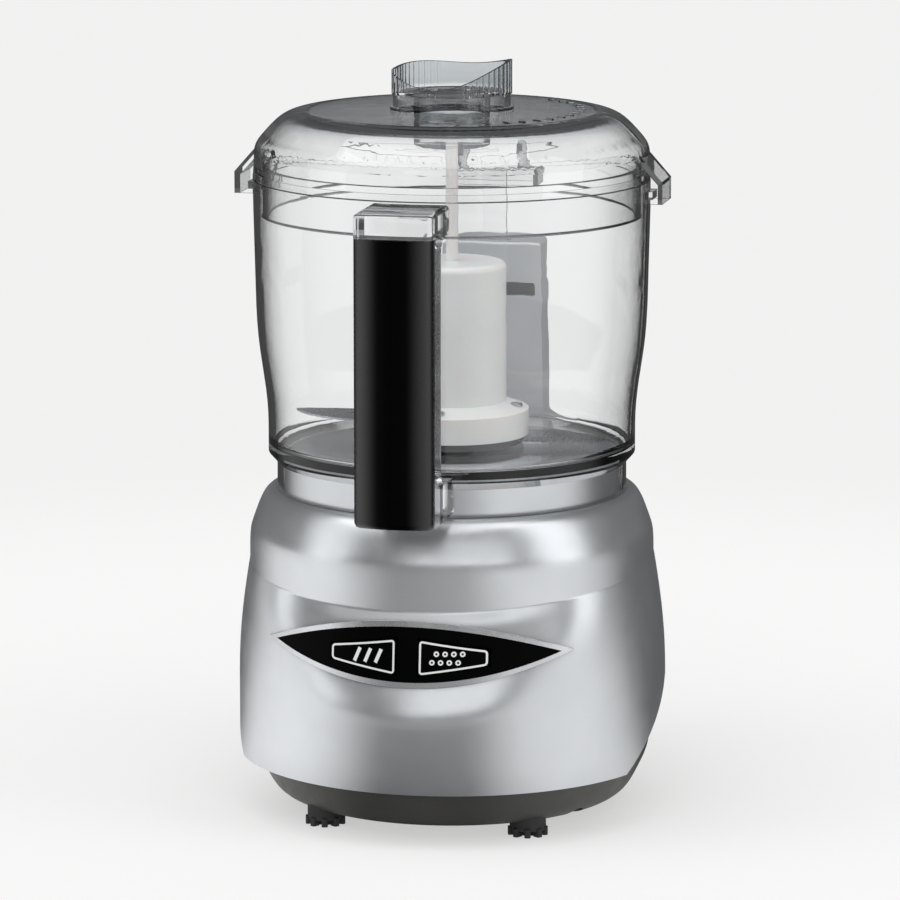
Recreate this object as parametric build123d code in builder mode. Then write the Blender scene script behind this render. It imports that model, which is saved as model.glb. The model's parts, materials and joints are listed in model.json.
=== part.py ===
from build123d import *

import os
from math import acos, cos, pi, radians, sin, tan

# A small food processor: a moulded base with a geared motor, a clear work bowl with a
# moulded handle, a two-bladed knife on a tall hub and a clear lid.
# Millimetres. The origin is on the drive axis, at the surface the feet stand on.
# +Z is up, -Y is the front with the buttons and the handle, +Y is the rear column.

# ---------------------------------------------------------------- driving dimensions
REACH = 86.0  # handle in front and column behind stand this far from the drive axis

# base housing
WALL = 2.2
BOSS_R = 52.3
BOSS_TOP = 110.0
SHOULDER_R = 55.3
SHOULDER_Z = 101.0
WAIST_R = 63.2
CREASE_Z = 80.0
BELLY_R = 67.0
BELLY_Z = 42.0
BELLY_BACK = 1.0  # the belly is turned about an axis this far behind the drive axis
HEM_Z = 17.4
REAR_HEM_Z = 41.0
RISE_FRONT_Y = -27.0
RISE_REAR_Y = 8.0

# bottom cover and feet
COVER_Z = 4.2
COVER_R = 62.4
COVER_FLAT_R = 50.0
COVER_WALL = 2.0
SPIGOT_Z = 24.0
FOOT_X = 32.0
FOOT_Y = 38.0
FOOT_R = 6.2
POST_X = 44.0
POST_Y = 28.0
POST_R = 4.2
POST_FOOT = 19.0
SCREW_SEAT_Z = 12.6
INLET_Z = 28.0

# front panel
PANEL_HALF = 44.5
PANEL_Z = 60.6
PANEL_TOP = 69.4
PANEL_LOW = 52.5
BEZEL_RIM = 1.7
BUTTON_IN = 3.4
BUTTON_OUT = 24.6
BUTTON_TALL = 11.2
BUTTON_SHORT = 4.8
BUTTON_CLEAR = 0.3
BUTTON_X = 13.0
BOARD_Y = -50.4
BOARD_POST_X = 28.5

# rear column
COLUMN_TOP = 169.0
COLUMN_FOOT = 44.0
COLUMN_FRONT = 62.8
COLUMN_WALL = 2.0
COLUMN_TOP_W = 33.0
COLUMN_FOOT_W = 39.0
WINDOW_Z = 154.0
ROD_Y = 70.0
ROD_R = 2.0
ROD_TOP = 163.0
ROD_FOOT = 98.6
ROD_GUIDE_Z = 140.0
SPRING_Z = 101.4
SPRING_LENGTH = 7.0
SPRING_WIRE_R = 0.3
SWITCH_Z = 88.0
COLUMN_SCREWS = (56.0, 76.0)

# gearing
GEAR_MODULE = 1.0
PINION_TEETH = 12
GEAR_TEETH = 36
PRESSURE = radians(25)
TOOTH_THIN = 0.12
MOTOR_Y = GEAR_MODULE * (PINION_TEETH + GEAR_TEETH) / 2
GEAR_Z = 83.0
GEAR_FACE = 7.0

# motor, from the bottom up
SHAFT_R = 2.5
FAN_Z = 22.0
LOWER_BRACKET_Z = 31.0
COMMUTATOR_Z = 38.0
CORE_Z = 50.0
CORE_TALL = 22.0
PLATE_Z = 76.0
PLATE_THICK = 3.0

# drive spindle
SPINDLE_R = 4.0
RUNNING = 0.04  # radial clearance of a shaft in its bush
BUSH_R = 7.0
HEX_FLATS = 6.0
SPINDLE_TOP = 162.0
HEX_FOOT = 151.0

# bowl
SKIRT_R = 54.5
SKIRT_Z = 101.3
BOWL_LOW_R = 57.2
BOWL_FLOOR_Z = 112.7
FLOOR_THICK = 2.2
BOWL_RIM_R = 61.6
BOWL_RIM_Z = 198.0
BOWL_WALL = 2.1
TUBE_R = 7.6
TUBE_BORE = 5.4
TUBE_TOP = 150.0

# handle
HANDLE_W = 24.0
HANDLE_BACK = 72.0
HANDLE_LOW = 103.0
GRIP_DEPTH = 4.6
GRIP_CROWN = 2.0  # the grip's front bulges this far over its width
GRIP_TOP = 190.0

# knife
HUB_R = 17.0
HUB_TOP = 172.0
FLANGE_R = 24.0
HUB_WALL = 2.0
FLANGE_LOW = 118.0
FLANGE_TOP = 126.0
FLANGE_RISE = 2.5
KNIFE_LOW = 115.7
BLADE_TIP_R = 51.0
BLADE_THICK = 1.2
PIN_R = 1.9
PIN_TOP = 211.0

# lid
LID_GAP = 0.2
LID_WALL = 2.0
LID_TOP = 219.0
LID_FLAT_R = 45.0
LID_SKIRT_R = 58.6
LID_SKIRT_Z = 187.3
SOCKET_R = 11.7
SOCKET_Z = 208.0
EAR_OUT = 67.4
EAR_HALF = 8.0
EAR_LOW = 192.2
TONGUE_HALF = 15.5
TONGUE_LOW = 187.5
TONGUE_TOP = 195.4
TONGUE_FRONT = 62.6
TONGUE_REAR = 77.0
KNOB_HALF = 18.2
KNOB_DEPTH = 13.0
KNOB_TURN = 18.0
KNOB_WALL = 1.6
KNOB_FLOOR_Z = 225.0
KNOB_TOP = 234.6
KNOB_DIP = 226.5

BELLY_PLANE = Plane((0, BELLY_BACK, 0), x_dir=(1, 0, 0), z_dir=(0, -1, 0))
BELLY_AXIS = Axis((0, BELLY_BACK, 0), (0, 0, 1))
CORNERS = ((-1, -1), (1, -1), (-1, 1), (1, 1))
POSTS = [(x * POST_X, y * POST_Y) for x, y in CORNERS]
STANDOFFS = [(-30, -27), (30, -27), (-30, 36), (30, 36)]
FEET = [(x * FOOT_X, y * FOOT_Y) for x, y in CORNERS]

os.makedirs("parts", exist_ok=True)


def save(part, label):
    """Label one finished sub-part and write its STEP file."""
    part.label = label
    export_step(part, f"parts/{label}.step")


# ---------------------------------------------------------------- shared shapes
def belly_outline(grow, foot):
    """Half outline of the housing's belly, grown outward, down to the height foot."""
    with BuildLine() as outline:
        wall = Line((BELLY_R + grow, foot), (BELLY_R + grow, BELLY_Z))
        side = Spline(
            wall @ 1,
            (BELLY_R - 1.0 + grow, PANEL_Z),
            (WAIST_R + grow, CREASE_Z),
            tangents=((0, 1), (-0.17, 1)),
        )
        Polyline(side @ 1, (0, CREASE_Z), (0, foot), wall @ 0)
    return outline.line


def shoulder_outline(grow, foot):
    """Half outline of the boss and shoulder above the belly, grown outward."""
    with BuildLine() as outline:
        boss = Polyline(
            (0, BOSS_TOP + grow),
            (BOSS_R + grow, BOSS_TOP + grow),
            (BOSS_R + grow, SHOULDER_Z + grow),
            (SHOULDER_R, SHOULDER_Z + grow),
        )
        side = Spline(
            boss @ 1,
            (SHOULDER_R + 4.2 + grow * 0.6, SHOULDER_Z - 3.6 + grow * 0.8),
            (WAIST_R - 1.2 + grow, SHOULDER_Z - 10.0),
            (WAIST_R + grow, CREASE_Z + 2),
            tangents=((1, -0.15), (0, -1)),
        )
        Polyline(side @ 1, (WAIST_R + grow, foot), (0, foot), boss @ 0)
    return outline.line


def almond_outline(grow):
    """The front panel's pointed oval, grown outward, in front view."""
    tip = PANEL_HALF + 1.8 * grow
    with BuildLine() as outline:
        ThreePointArc((-tip, PANEL_Z), (0, PANEL_TOP + grow), (tip, PANEL_Z))
        ThreePointArc((-tip, PANEL_Z), (0, PANEL_LOW - grow), (tip, PANEL_Z))
    return outline.line


def button_outline(side, grow):
    """One button's tapered four-sided outline, in front view; side is -1 or 1."""
    tall = BUTTON_TALL / 2 + grow
    short = BUTTON_SHORT / 2 + grow
    near = side * (BUTTON_IN - grow)
    far = side * (BUTTON_OUT + grow)
    corners = [(near, -tall), (far, -short), (far, short), (near, tall)]
    with BuildLine() as outline:
        Polyline(*[(x, PANEL_Z - 0.4 + z) for x, z in corners], close=True)
    return outline.line


def belly_skin(outer, inner):
    """A shell that follows the belly, between two offsets from its surface."""
    with BuildPart() as skin:
        with BuildSketch(BELLY_PLANE):
            make_face(belly_outline(outer, HEM_Z).edges())
        revolve(axis=BELLY_AXIS)
        with BuildSketch(BELLY_PLANE):
            make_face(belly_outline(inner, HEM_Z - 1).edges())
        revolve(axis=BELLY_AXIS, mode=Mode.SUBTRACT)
    return skin.part


def front_prism(outline, near=-40.0, far=-80.0):
    """A front-view outline drawn out along Y, between two distances from the axis."""
    with BuildPart() as prism:
        with BuildSketch(Plane.XZ.offset(-near)):
            make_face(outline.edges())
        extrude(amount=near - far)
    return prism.part


def clipped_skin(outer, inner, outline):
    """The piece of the belly's skin that lies inside a front-view outline."""
    with BuildPart() as patch:
        add(belly_skin(outer, inner))
        add(front_prism(outline), mode=Mode.INTERSECT)
    return patch.part


def coil_spring(plane, mean_r, wire_r, length, turns):
    """A round-wire compression spring, standing on the given plane."""
    with BuildPart() as spring:
        with BuildLine(plane):
            path = Helix(pitch=length / turns, height=length, radius=mean_r)
        with BuildSketch(Plane(origin=path @ 0, z_dir=path % 0)):
            Circle(wire_r)
        sweep(path=path)
    return spring.part


def pan_screw(plane, shank_r, length, head_r, head_tall):
    """A pan-head screw: the head stands on the plane and the shank runs below it."""
    with BuildPart() as screw:
        with BuildSketch(plane):
            Circle(head_r)
        extrude(amount=head_tall)
        fillet(screw.faces().sort_by(Axis(plane.origin, plane.z_dir))[-1].edges(), head_tall / 3)
        with BuildSketch(plane):
            Circle(shank_r)
        extrude(amount=-length)
        with BuildSketch(plane.offset(head_tall)):
            Rectangle(head_r * 1.1, head_r * 0.25)
            Rectangle(head_r * 0.25, head_r * 1.1)
        extrude(amount=-head_tall * 0.6, mode=Mode.SUBTRACT)
    return screw.part


def ring(outer_r, inner_r, low, high, centre_y=0.0):
    """A plain round ring about a vertical axis."""
    with BuildPart() as body:
        with BuildSketch(Plane((0, centre_y, low))):
            Circle(outer_r)
            if inner_r:
                Circle(inner_r, mode=Mode.SUBTRACT)
        extrude(amount=high - low)
    return body.part


def rear_wedge(lift):
    """The space under the housing's raised rear hem, grown upward by lift."""
    with BuildPart() as wedge:
        with BuildSketch(Plane.YZ.offset(-90)):
            with BuildLine():
                Polyline(
                    (RISE_FRONT_Y - lift, HEM_Z - 5),
                    (RISE_FRONT_Y - lift, HEM_Z),
                    (RISE_REAR_Y - lift, REAR_HEM_Z + lift),
                    (90, REAR_HEM_Z + lift),
                    (90, HEM_Z - 5),
                    close=True,
                )
            make_face()
        extrude(amount=180)
    return wedge.part


# ---------------------------------------------------------------- base: motor housing
with BuildPart() as housing_outer:
    with BuildSketch(Plane.XZ):
        make_face(shoulder_outline(0, PANEL_Z).edges())
    revolve(axis=Axis.Z)
    with BuildSketch(BELLY_PLANE):
        make_face(belly_outline(0, HEM_Z).edges())
    revolve(axis=BELLY_AXIS)

with BuildPart() as housing_cavity:
    with BuildSketch(Plane.XZ):
        make_face(shoulder_outline(-WALL, PANEL_Z).edges())
    revolve(axis=Axis.Z)
    with BuildSketch(BELLY_PLANE):
        make_face(belly_outline(-WALL, HEM_Z - 1).edges())
    revolve(axis=BELLY_AXIS)

with BuildPart() as motor_housing:
    add(housing_outer.part)
    add(housing_cavity.part, mode=Mode.SUBTRACT)
    # Posts that take the cover screws hang from the inside of the shoulder.
    with BuildSketch(Plane.XY.offset(POST_FOOT)):
        with Locations(*POSTS):
            Circle(POST_R)
    extrude(amount=SHOULDER_Z - WALL - POST_FOOT)
    with BuildSketch(Plane.XY.offset(PLATE_Z + PLATE_THICK)):
        with Locations(*STANDOFFS):
            Circle(3.5)
    extrude(amount=BOSS_TOP - WALL / 2 - PLATE_Z - PLATE_THICK)
    # A collar under the boss holds the upper spindle bush and the seal above it.
    with BuildSketch(Plane.XY.offset(BOSS_TOP - 14)):
        Circle(BUSH_R + 2.4)
    extrude(amount=14 - WALL / 2)
    with BuildSketch(Plane.XY.offset(BOSS_TOP - 15)):
        Circle(BUSH_R)
    extrude(amount=16, mode=Mode.SUBTRACT)
    with BuildSketch(Plane.XY.offset(POST_FOOT)):
        with Locations(*POSTS):
            Circle(1.4)
    extrude(amount=10, mode=Mode.SUBTRACT)
    with BuildSketch(Plane.XY.offset(PLATE_Z)):
        with Locations(*STANDOFFS):
            Circle(1.3)
    extrude(amount=15, mode=Mode.SUBTRACT)
    add(rear_wedge(0), mode=Mode.SUBTRACT)
    add(front_prism(almond_outline(0.9)), mode=Mode.SUBTRACT)
    # Two screw holes and a wire passage open into the rear column.
    with BuildSketch(Plane.XZ.offset(-60)):
        with Locations(*[(0, height) for height in COLUMN_SCREWS]):
            Circle(1.7)
        with Locations((0, 66)):
            RectangleRounded(12, 7, 3)
    extrude(amount=-20, mode=Mode.SUBTRACT)
save(motor_housing.part, "motor_housing")

# ---------------------------------------------------------------- base: rear column
def column_body(shrink, foot, top):
    """The column's tapering D-shaped body, shrunk all round by a wall's thickness."""
    with BuildPart() as body:
        for height in (foot, top):
            share = (height - COLUMN_FOOT) / (COLUMN_TOP - COLUMN_FOOT)
            width = COLUMN_FOOT_W + share * (COLUMN_TOP_W - COLUMN_FOOT_W)
            half = width / 2 - shrink
            rear = REACH - shrink
            with BuildSketch(Plane.XY.offset(height)):
                with BuildLine():
                    sides = FilletPolyline(
                        (-half, 50), (-half, rear), (half, rear), (half, 50), radius=11 - shrink
                    )
                    Line(sides @ 1, sides @ 0)
                make_face()
        loft()
        # The front face is flat and stands clear of the bowl.
        with BuildSketch(Plane.XY.offset(foot)):
            with Locations((0, COLUMN_FRONT + shrink - 20)):
                Rectangle(60, 40)
        extrude(amount=top - foot, mode=Mode.SUBTRACT)
    return body.part


with BuildPart() as rear_column:
    add(column_body(0, COLUMN_FOOT, COLUMN_TOP))
    fillet(rear_column.faces().sort_by(Axis.Z)[-1].edges(), 1.0)
    add(column_body(COLUMN_WALL, COLUMN_FOOT + COLUMN_WALL, COLUMN_TOP - COLUMN_WALL), mode=Mode.SUBTRACT)
    # Bosses for the two screws that come through the housing's rear wall.
    with BuildSketch(Plane.XZ.offset(-REACH + 1)):
        with Locations(*[(0, height) for height in COLUMN_SCREWS]):
            Circle(3.6)
    extrude(amount=16)
    with BuildSketch(Plane.XZ.offset(-COLUMN_FRONT + 4)):
        with Locations(*[(0, height) for height in COLUMN_SCREWS]):
            Circle(1.4)
    extrude(amount=-20, mode=Mode.SUBTRACT)
    # One shelf carries the interlock switch; two with a hole guide the rod.
    for height in (SWITCH_Z - 2, SPRING_Z - 1.6, ROD_GUIDE_Z):
        add(column_body(COLUMN_WALL / 2, height, height + 1.6))
    with BuildSketch(Plane.XY.offset(SPRING_Z - 2)):
        with Locations((0, ROD_Y)):
            Circle(ROD_R + 0.3)
    extrude(amount=ROD_GUIDE_Z - SPRING_Z + 5, mode=Mode.SUBTRACT)
    # The slot in the top lets the lid's finger in; the window is the slot in the front.
    with BuildSketch(Plane.XY.offset(COLUMN_TOP - 5)):
        with Locations((0, ROD_Y)):
            RectangleRounded(11, 5, 1.5)
    extrude(amount=6, mode=Mode.SUBTRACT)
    with BuildSketch(Plane.XZ.offset(-COLUMN_FRONT + 1)):
        with Locations((0, WINDOW_Z)):
            RectangleRounded(30, 4.6, 1.2)
    extrude(amount=-5, mode=Mode.SUBTRACT)
    add(housing_outer.part, mode=Mode.SUBTRACT)
save(rear_column.part, "rear_column")

with BuildPart() as column_screws:
    for height in COLUMN_SCREWS:
        add(pan_screw(Plane((0, WAIST_R - WALL - 0.5, height), z_dir=(0, -1, 0)), 1.35, 16, 2.8, 1.8))
save(column_screws.part, "column_screws")

# ---------------------------------------------------------------- base: cover and feet
def cover_outline(shrink):
    """Half outline of the dished bottom cover, up to the top of its wall."""
    with BuildLine() as outline:
        floor = Line((0, COVER_Z + shrink), (COVER_FLAT_R - shrink / 2, COVER_Z + shrink))
        side = Spline(
            floor @ 1,
            (58.6 - shrink, 11.8 + shrink * 0.3),
            (COVER_R - shrink, SPIGOT_Z),
            tangents=((1, 0.1), (0, 1)),
        )
        Polyline(
            side @ 1, (COVER_R - shrink, REAR_HEM_Z + 5), (0, REAR_HEM_Z + 5), floor @ 0
        )
    return outline.line


with BuildPart() as cover_outer:
    with BuildSketch(Plane.XZ):
        make_face(cover_outline(0).edges())
    revolve(axis=Axis.Z)

# In front the cover's wall is a low spigot inside the housing; behind it fills the rise.
with BuildPart() as front_trim:
    with BuildSketch(Plane.XY.offset(SPIGOT_Z)):
        Circle(80)
    extrude(amount=40)
    add(rear_wedge(4), mode=Mode.SUBTRACT)

with BuildPart() as cover_bosses:
    with BuildSketch(Plane.XY):
        with Locations(*POSTS):
            Circle(POST_R)
    extrude(amount=POST_FOOT)
    add(cover_outer.part, mode=Mode.INTERSECT)

# A flange on the spigot closes the gap inside the housing's front hem.
with BuildPart() as spigot_flange:
    add(ring(BELLY_R - WALL - BELLY_BACK - 0.4, COVER_R - COVER_WALL / 2, HEM_Z + 2, HEM_Z + 4))
    add(rear_wedge(1.5), mode=Mode.SUBTRACT)

with BuildPart() as bottom_cover:
    add(cover_outer.part)
    with BuildSketch(Plane.XZ):
        make_face(cover_outline(COVER_WALL).edges())
    revolve(axis=Axis.Z, mode=Mode.SUBTRACT)
    add(front_trim.part, mode=Mode.SUBTRACT)
    add(cover_bosses.part)
    add(spigot_flange.part)
    with BuildSketch(Plane.XY):
        with Locations(*POSTS):
            Circle(3.3)
    extrude(amount=SCREW_SEAT_Z, mode=Mode.SUBTRACT)
    with BuildSketch(Plane.XY):
        with Locations(*POSTS):
            Circle(1.7)
    extrude(amount=POST_FOOT, mode=Mode.SUBTRACT)
    with BuildSketch(Plane.XY):
        with Locations(*FEET):
            Circle(2.5)
        # Cooling slots under the motor's fan.
        with Locations((0, MOTOR_Y)):
            with GridLocations(0, 6, 1, 6):
                SlotOverall(34, 2.6)
    extrude(amount=14, mode=Mode.SUBTRACT)
    with BuildSketch(Plane.XZ.offset(-COVER_R + 6)):
        with Locations((0, INLET_Z)):
            Circle(5.2)
    extrude(amount=-10, mode=Mode.SUBTRACT)
save(bottom_cover.part, "bottom_cover")

with BuildPart() as cover_screws:
    for x, y in POSTS:
        add(pan_screw(Plane((x, y, SCREW_SEAT_Z), z_dir=(0, 0, -1)), 1.35, 14, 2.9, 1.9))
save(cover_screws.part, "cover_screws")

with BuildPart() as cord_inlet:
    with BuildSketch(Plane.XZ.offset(-COVER_R + 3.8)):
        with Locations((0, INLET_Z)):
            Circle(6.6)
    extrude(amount=-1.2)
    with BuildSketch(Plane.XZ.offset(-COVER_R + 3.8)):
        with Locations((0, INLET_Z)):
            Circle(5.1)
    extrude(amount=-5)
    with BuildSketch(Plane.XZ.offset(-COVER_R - 0.3)):
        with Locations((0, INLET_Z)):
            Circle(6.6)
    extrude(amount=-1.6)
    with BuildSketch(Plane.XZ.offset(-COVER_R + 6)):
        with Locations((0, INLET_Z)):
            Circle(3.3)
    extrude(amount=-12, mode=Mode.SUBTRACT)
save(cord_inlet.part, "cord_inlet")

# Each foot is a soft disc with a ring of short rubber teeth and a stem into the cover.
FOOT_TEETH = 9
with BuildPart() as feet:
    with BuildSketch(Plane.XY.offset(1.8)):
        with Locations(*FEET):
            Circle(FOOT_R - 0.6)
    extrude(amount=9)
    add(cover_outer.part, mode=Mode.SUBTRACT)
    with BuildSketch(Plane.XY.offset(1.8)):
        with Locations(*FEET):
            Circle(2.4)
    extrude(amount=9)
    with BuildSketch():
        with Locations(*FEET):
            Circle(3.0)
            with PolarLocations(FOOT_R - 1.4, FOOT_TEETH):
                RectangleRounded(2.8, 1.9, 0.6)
    extrude(amount=2.6)
save(feet.part, "feet")

# ---------------------------------------------------------------- base: front panel
with BuildPart() as panel_bezel:
    add(clipped_skin(0.7, -WALL - 0.2, almond_outline(0.8)))
    add(clipped_skin(0.7, 0.02, almond_outline(BEZEL_RIM)))
    add(front_prism(almond_outline(0)), mode=Mode.SUBTRACT)
save(panel_bezel.part, "panel_bezel")

with BuildPart() as control_panel:
    add(clipped_skin(0.2, -2.0, almond_outline(-0.1)))
    for side in (-1, 1):
        add(front_prism(button_outline(side, BUTTON_CLEAR)), mode=Mode.SUBTRACT)
    # Two short posts carry the control board.
    with BuildSketch(Plane.XZ.offset(-BOARD_Y + 1.6)):
        with Locations((-BOARD_POST_X, PANEL_Z), (BOARD_POST_X, PANEL_Z)):
            Circle(2.2)
    extrude(amount=5.5)
    with BuildSketch(Plane.XZ.offset(-BOARD_Y)):
        with Locations((-BOARD_POST_X, PANEL_Z), (BOARD_POST_X, PANEL_Z)):
            Circle(0.9)
    extrude(amount=5, mode=Mode.SUBTRACT)
save(control_panel.part, "control_panel")


def push_button(side):
    """A button's cap, the flange that stops it behind the panel, and its stem."""
    with BuildPart() as button:
        add(clipped_skin(0.8, -3.4, button_outline(side, 0)))
        fillet(button.edges().filter_by(Axis.Y, tolerance=0.1), 0.8)
        add(clipped_skin(-2.3, -3.4, button_outline(side, 1.1)))
        with BuildSketch(Plane.XZ.offset(-BOARD_Y + 7.2)):
            with Locations((side * BUTTON_X, PANEL_Z - 0.4)):
                Circle(1.5)
        extrude(amount=4)
    return button.part


save(push_button(-1), "chop_button")
save(push_button(1), "grind_button")

with BuildPart() as control_board:
    with BuildSketch(Plane.XZ.offset(-BOARD_Y)):
        with Locations((0, PANEL_Z)):
            RectangleRounded(62, 24, 2)
        with Locations((-BOARD_POST_X, PANEL_Z), (BOARD_POST_X, PANEL_Z)):
            Circle(1.2, mode=Mode.SUBTRACT)
    extrude(amount=1.6)
save(control_board.part, "control_board")

with BuildPart() as push_switches:
    for side in (-1, 1):
        with BuildSketch(Plane.XZ.offset(-BOARD_Y + 1.6)):
            with Locations((side * BUTTON_X, PANEL_Z - 0.4)):
                RectangleRounded(6.2, 6.2, 0.5)
        extrude(amount=3.4)
        with BuildSketch(Plane.XZ.offset(-BOARD_Y + 5)):
            with Locations((side * BUTTON_X, PANEL_Z - 0.4)):
                Circle(1.6)
        extrude(amount=0.9)
save(push_switches.part, "push_switches")

with BuildPart() as board_screws:
    for side in (-1, 1):
        add(pan_screw(Plane((side * BOARD_POST_X, BOARD_Y, PANEL_Z), z_dir=(0, 1, 0)), 0.85, 5, 1.9, 1.2))
save(board_screws.part, "board_screws")

with BuildPart() as power_relay:
    with BuildSketch(Plane.XZ.offset(-BOARD_Y)):
        with Locations((12, PANEL_Z)):
            RectangleRounded(19, 15, 1)
    extrude(amount=-11)
save(power_relay.part, "power_relay")

with BuildPart() as noise_capacitor:
    with BuildSketch(Plane.XZ.offset(-BOARD_Y)):
        with Locations((-13, PANEL_Z)):
            RectangleRounded(17, 12, 2)
    extrude(amount=-7)
    fillet(noise_capacitor.faces().sort_by(Axis.Y)[-1].edges(), 1.2)
save(noise_capacitor.part, "noise_capacitor")

# ---------------------------------------------------------------- base: lid interlock
with BuildPart() as interlock_rod:
    add(ring(ROD_R, 0, ROD_FOOT, ROD_TOP, ROD_Y))
    fillet(interlock_rod.edges().filter_by(GeomType.CIRCLE), 0.5)
    collar_z = SPRING_Z + SPRING_LENGTH + 0.2
    add(ring(3.6, ROD_R - 0.5, collar_z, collar_z + 1.4, ROD_Y))
save(interlock_rod.part, "interlock_rod")

with BuildPart() as interlock_switch:
    with BuildSketch(Plane((0, ROD_Y, SWITCH_Z))):
        RectangleRounded(20, 7, 1)
    extrude(amount=6)
    with BuildSketch(Plane((0, ROD_Y, SWITCH_Z + 6))):
        RectangleRounded(5, 3, 0.5)
    extrude(amount=1.2)
save(interlock_switch.part, "interlock_switch")

with BuildPart() as interlock_spring:
    spring_plane = Plane((0, ROD_Y, SPRING_Z + SPRING_WIRE_R))
    add(coil_spring(spring_plane, 3.0, SPRING_WIRE_R, SPRING_LENGTH - 2 * SPRING_WIRE_R, 5))
save(interlock_spring.part, "interlock_spring")

# ---------------------------------------------------------------- base: motor
with BuildPart() as field_core:
    with BuildSketch(Plane((0, MOTOR_Y, CORE_Z))):
        RectangleRounded(50, 50, 7)
        Circle(14.4, mode=Mode.SUBTRACT)
        with Locations((-17.2, -16.4), (17.2, -16.4), (-17.2, 16.4), (17.2, 16.4)):
            RectangleRounded(4.6, 8.4, 0.8, mode=Mode.SUBTRACT)
        with Locations((-22, 0), (22, 0)):
            Circle(1.7, mode=Mode.SUBTRACT)
    extrude(amount=CORE_TALL)
save(field_core.part, "field_core")

with BuildPart() as field_windings:
    for side in (-1, 1):
        with BuildSketch(Plane.XZ.offset(-MOTOR_Y - side * 16.4 - 3.8)):
            with Locations((0, CORE_Z + CORE_TALL / 2)):
                RectangleRounded(38.4, CORE_TALL + 7.6, 4)
                RectangleRounded(30.4, CORE_TALL + 0.6, 1, mode=Mode.SUBTRACT)
        extrude(amount=7.6)
save(field_windings.part, "field_windings")

ARMATURE_SLOTS = 12
with BuildPart() as armature_core:
    with BuildSketch(Plane((0, MOTOR_Y, CORE_Z))):
        Circle(13.8)
        Circle(SHAFT_R, mode=Mode.SUBTRACT)
        with PolarLocations(10.4, ARMATURE_SLOTS):
            SlotOverall(5.6, 2.6, mode=Mode.SUBTRACT)
        with PolarLocations(13.4, ARMATURE_SLOTS):
            Rectangle(2.4, 1.0, mode=Mode.SUBTRACT)
    extrude(amount=CORE_TALL)
save(armature_core.part, "armature_core")

with BuildPart() as armature_windings:
    for low, tall in ((CORE_Z - 4.2, 4.0), (CORE_Z + CORE_TALL + 0.2, 2.4)):
        with BuildSketch(Plane((0, MOTOR_Y, low))):
            Circle(12.4)
            Circle(SHAFT_R + 2, mode=Mode.SUBTRACT)
        extrude(amount=tall)
    rims = armature_windings.edges().filter_by(GeomType.CIRCLE)
    fillet(rims.filter_by(lambda edge: edge.radius > 12), 0.9)
    with BuildSketch(Plane((0, MOTOR_Y, CORE_Z - 1))):
        with PolarLocations(10.3, ARMATURE_SLOTS):
            SlotOverall(4.6, 2.1)
    extrude(amount=CORE_TALL + 2)
save(armature_windings.part, "armature_windings")

with BuildPart() as commutator:
    with BuildSketch(Plane((0, MOTOR_Y, COMMUTATOR_Z))):
        Circle(8.0)
        Circle(SHAFT_R, mode=Mode.SUBTRACT)
        with PolarLocations(7.8, ARMATURE_SLOTS):
            Rectangle(1.6, 0.5, mode=Mode.SUBTRACT)
    extrude(amount=7.0)
save(commutator.part, "commutator")

with BuildPart() as motor_shaft:
    add(ring(SHAFT_R, 0, FAN_Z - 2, GEAR_Z + GEAR_FACE + 2, MOTOR_Y))
    chamfer(motor_shaft.faces().sort_by(Axis.Z)[0].edges(), 0.4)
    chamfer(motor_shaft.faces().sort_by(Axis.Z)[-1].edges(), 0.4)
save(motor_shaft.part, "motor_shaft")

FAN_BLADES = 9
with BuildPart() as cooling_fan:
    add(ring(19.0, SHAFT_R, FAN_Z, FAN_Z + 1.4, MOTOR_Y))
    add(ring(6.0, SHAFT_R, FAN_Z + 1, FAN_Z + 7, MOTOR_Y))
    with BuildSketch(Plane((0, MOTOR_Y, FAN_Z + 1))):
        with PolarLocations(12.2, FAN_BLADES):
            with Locations(Rot(0, 0, 25)):
                Rectangle(13.2, 1.2)
    extrude(amount=5.2)
save(cooling_fan.part, "cooling_fan")

with BuildPart() as lower_bracket:
    with BuildSketch(Plane((0, MOTOR_Y, LOWER_BRACKET_Z))):
        RectangleRounded(52, 16, 4)
        Circle(10)
        Circle(6.5, mode=Mode.SUBTRACT)
        with Locations((-22, 0), (22, 0)):
            Circle(1.7, mode=Mode.SUBTRACT)
    extrude(amount=PLATE_THICK)
    # Uprights that hold the brush holders and reach the core.
    with BuildSketch(Plane((0, MOTOR_Y, LOWER_BRACKET_Z + PLATE_THICK))):
        with Locations((-22, 0), (22, 0)):
            Circle(3.4)
            Circle(1.7, mode=Mode.SUBTRACT)
    extrude(amount=CORE_Z - LOWER_BRACKET_Z - PLATE_THICK)
save(lower_bracket.part, "lower_bracket")

with BuildPart() as brush_holders:
    for side in (-1, 1):
        with BuildSketch(Plane.YZ.offset(side * 14.0)):
            with Locations((MOTOR_Y, COMMUTATOR_Z + 3.5)):
                Rectangle(8, 7)
                Rectangle(6.2, 5.2, mode=Mode.SUBTRACT)
        extrude(amount=4.4, both=True)
save(brush_holders.part, "brush_holders")

with BuildPart() as carbon_brushes:
    for side in (-1, 1):
        with BuildSketch(Plane.YZ.offset(side * 12.8)):
            with Locations((MOTOR_Y, COMMUTATOR_Z + 3.5)):
                Rectangle(6.0, 5.0)
        extrude(amount=4.5, both=True)
save(carbon_brushes.part, "carbon_brushes")

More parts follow.
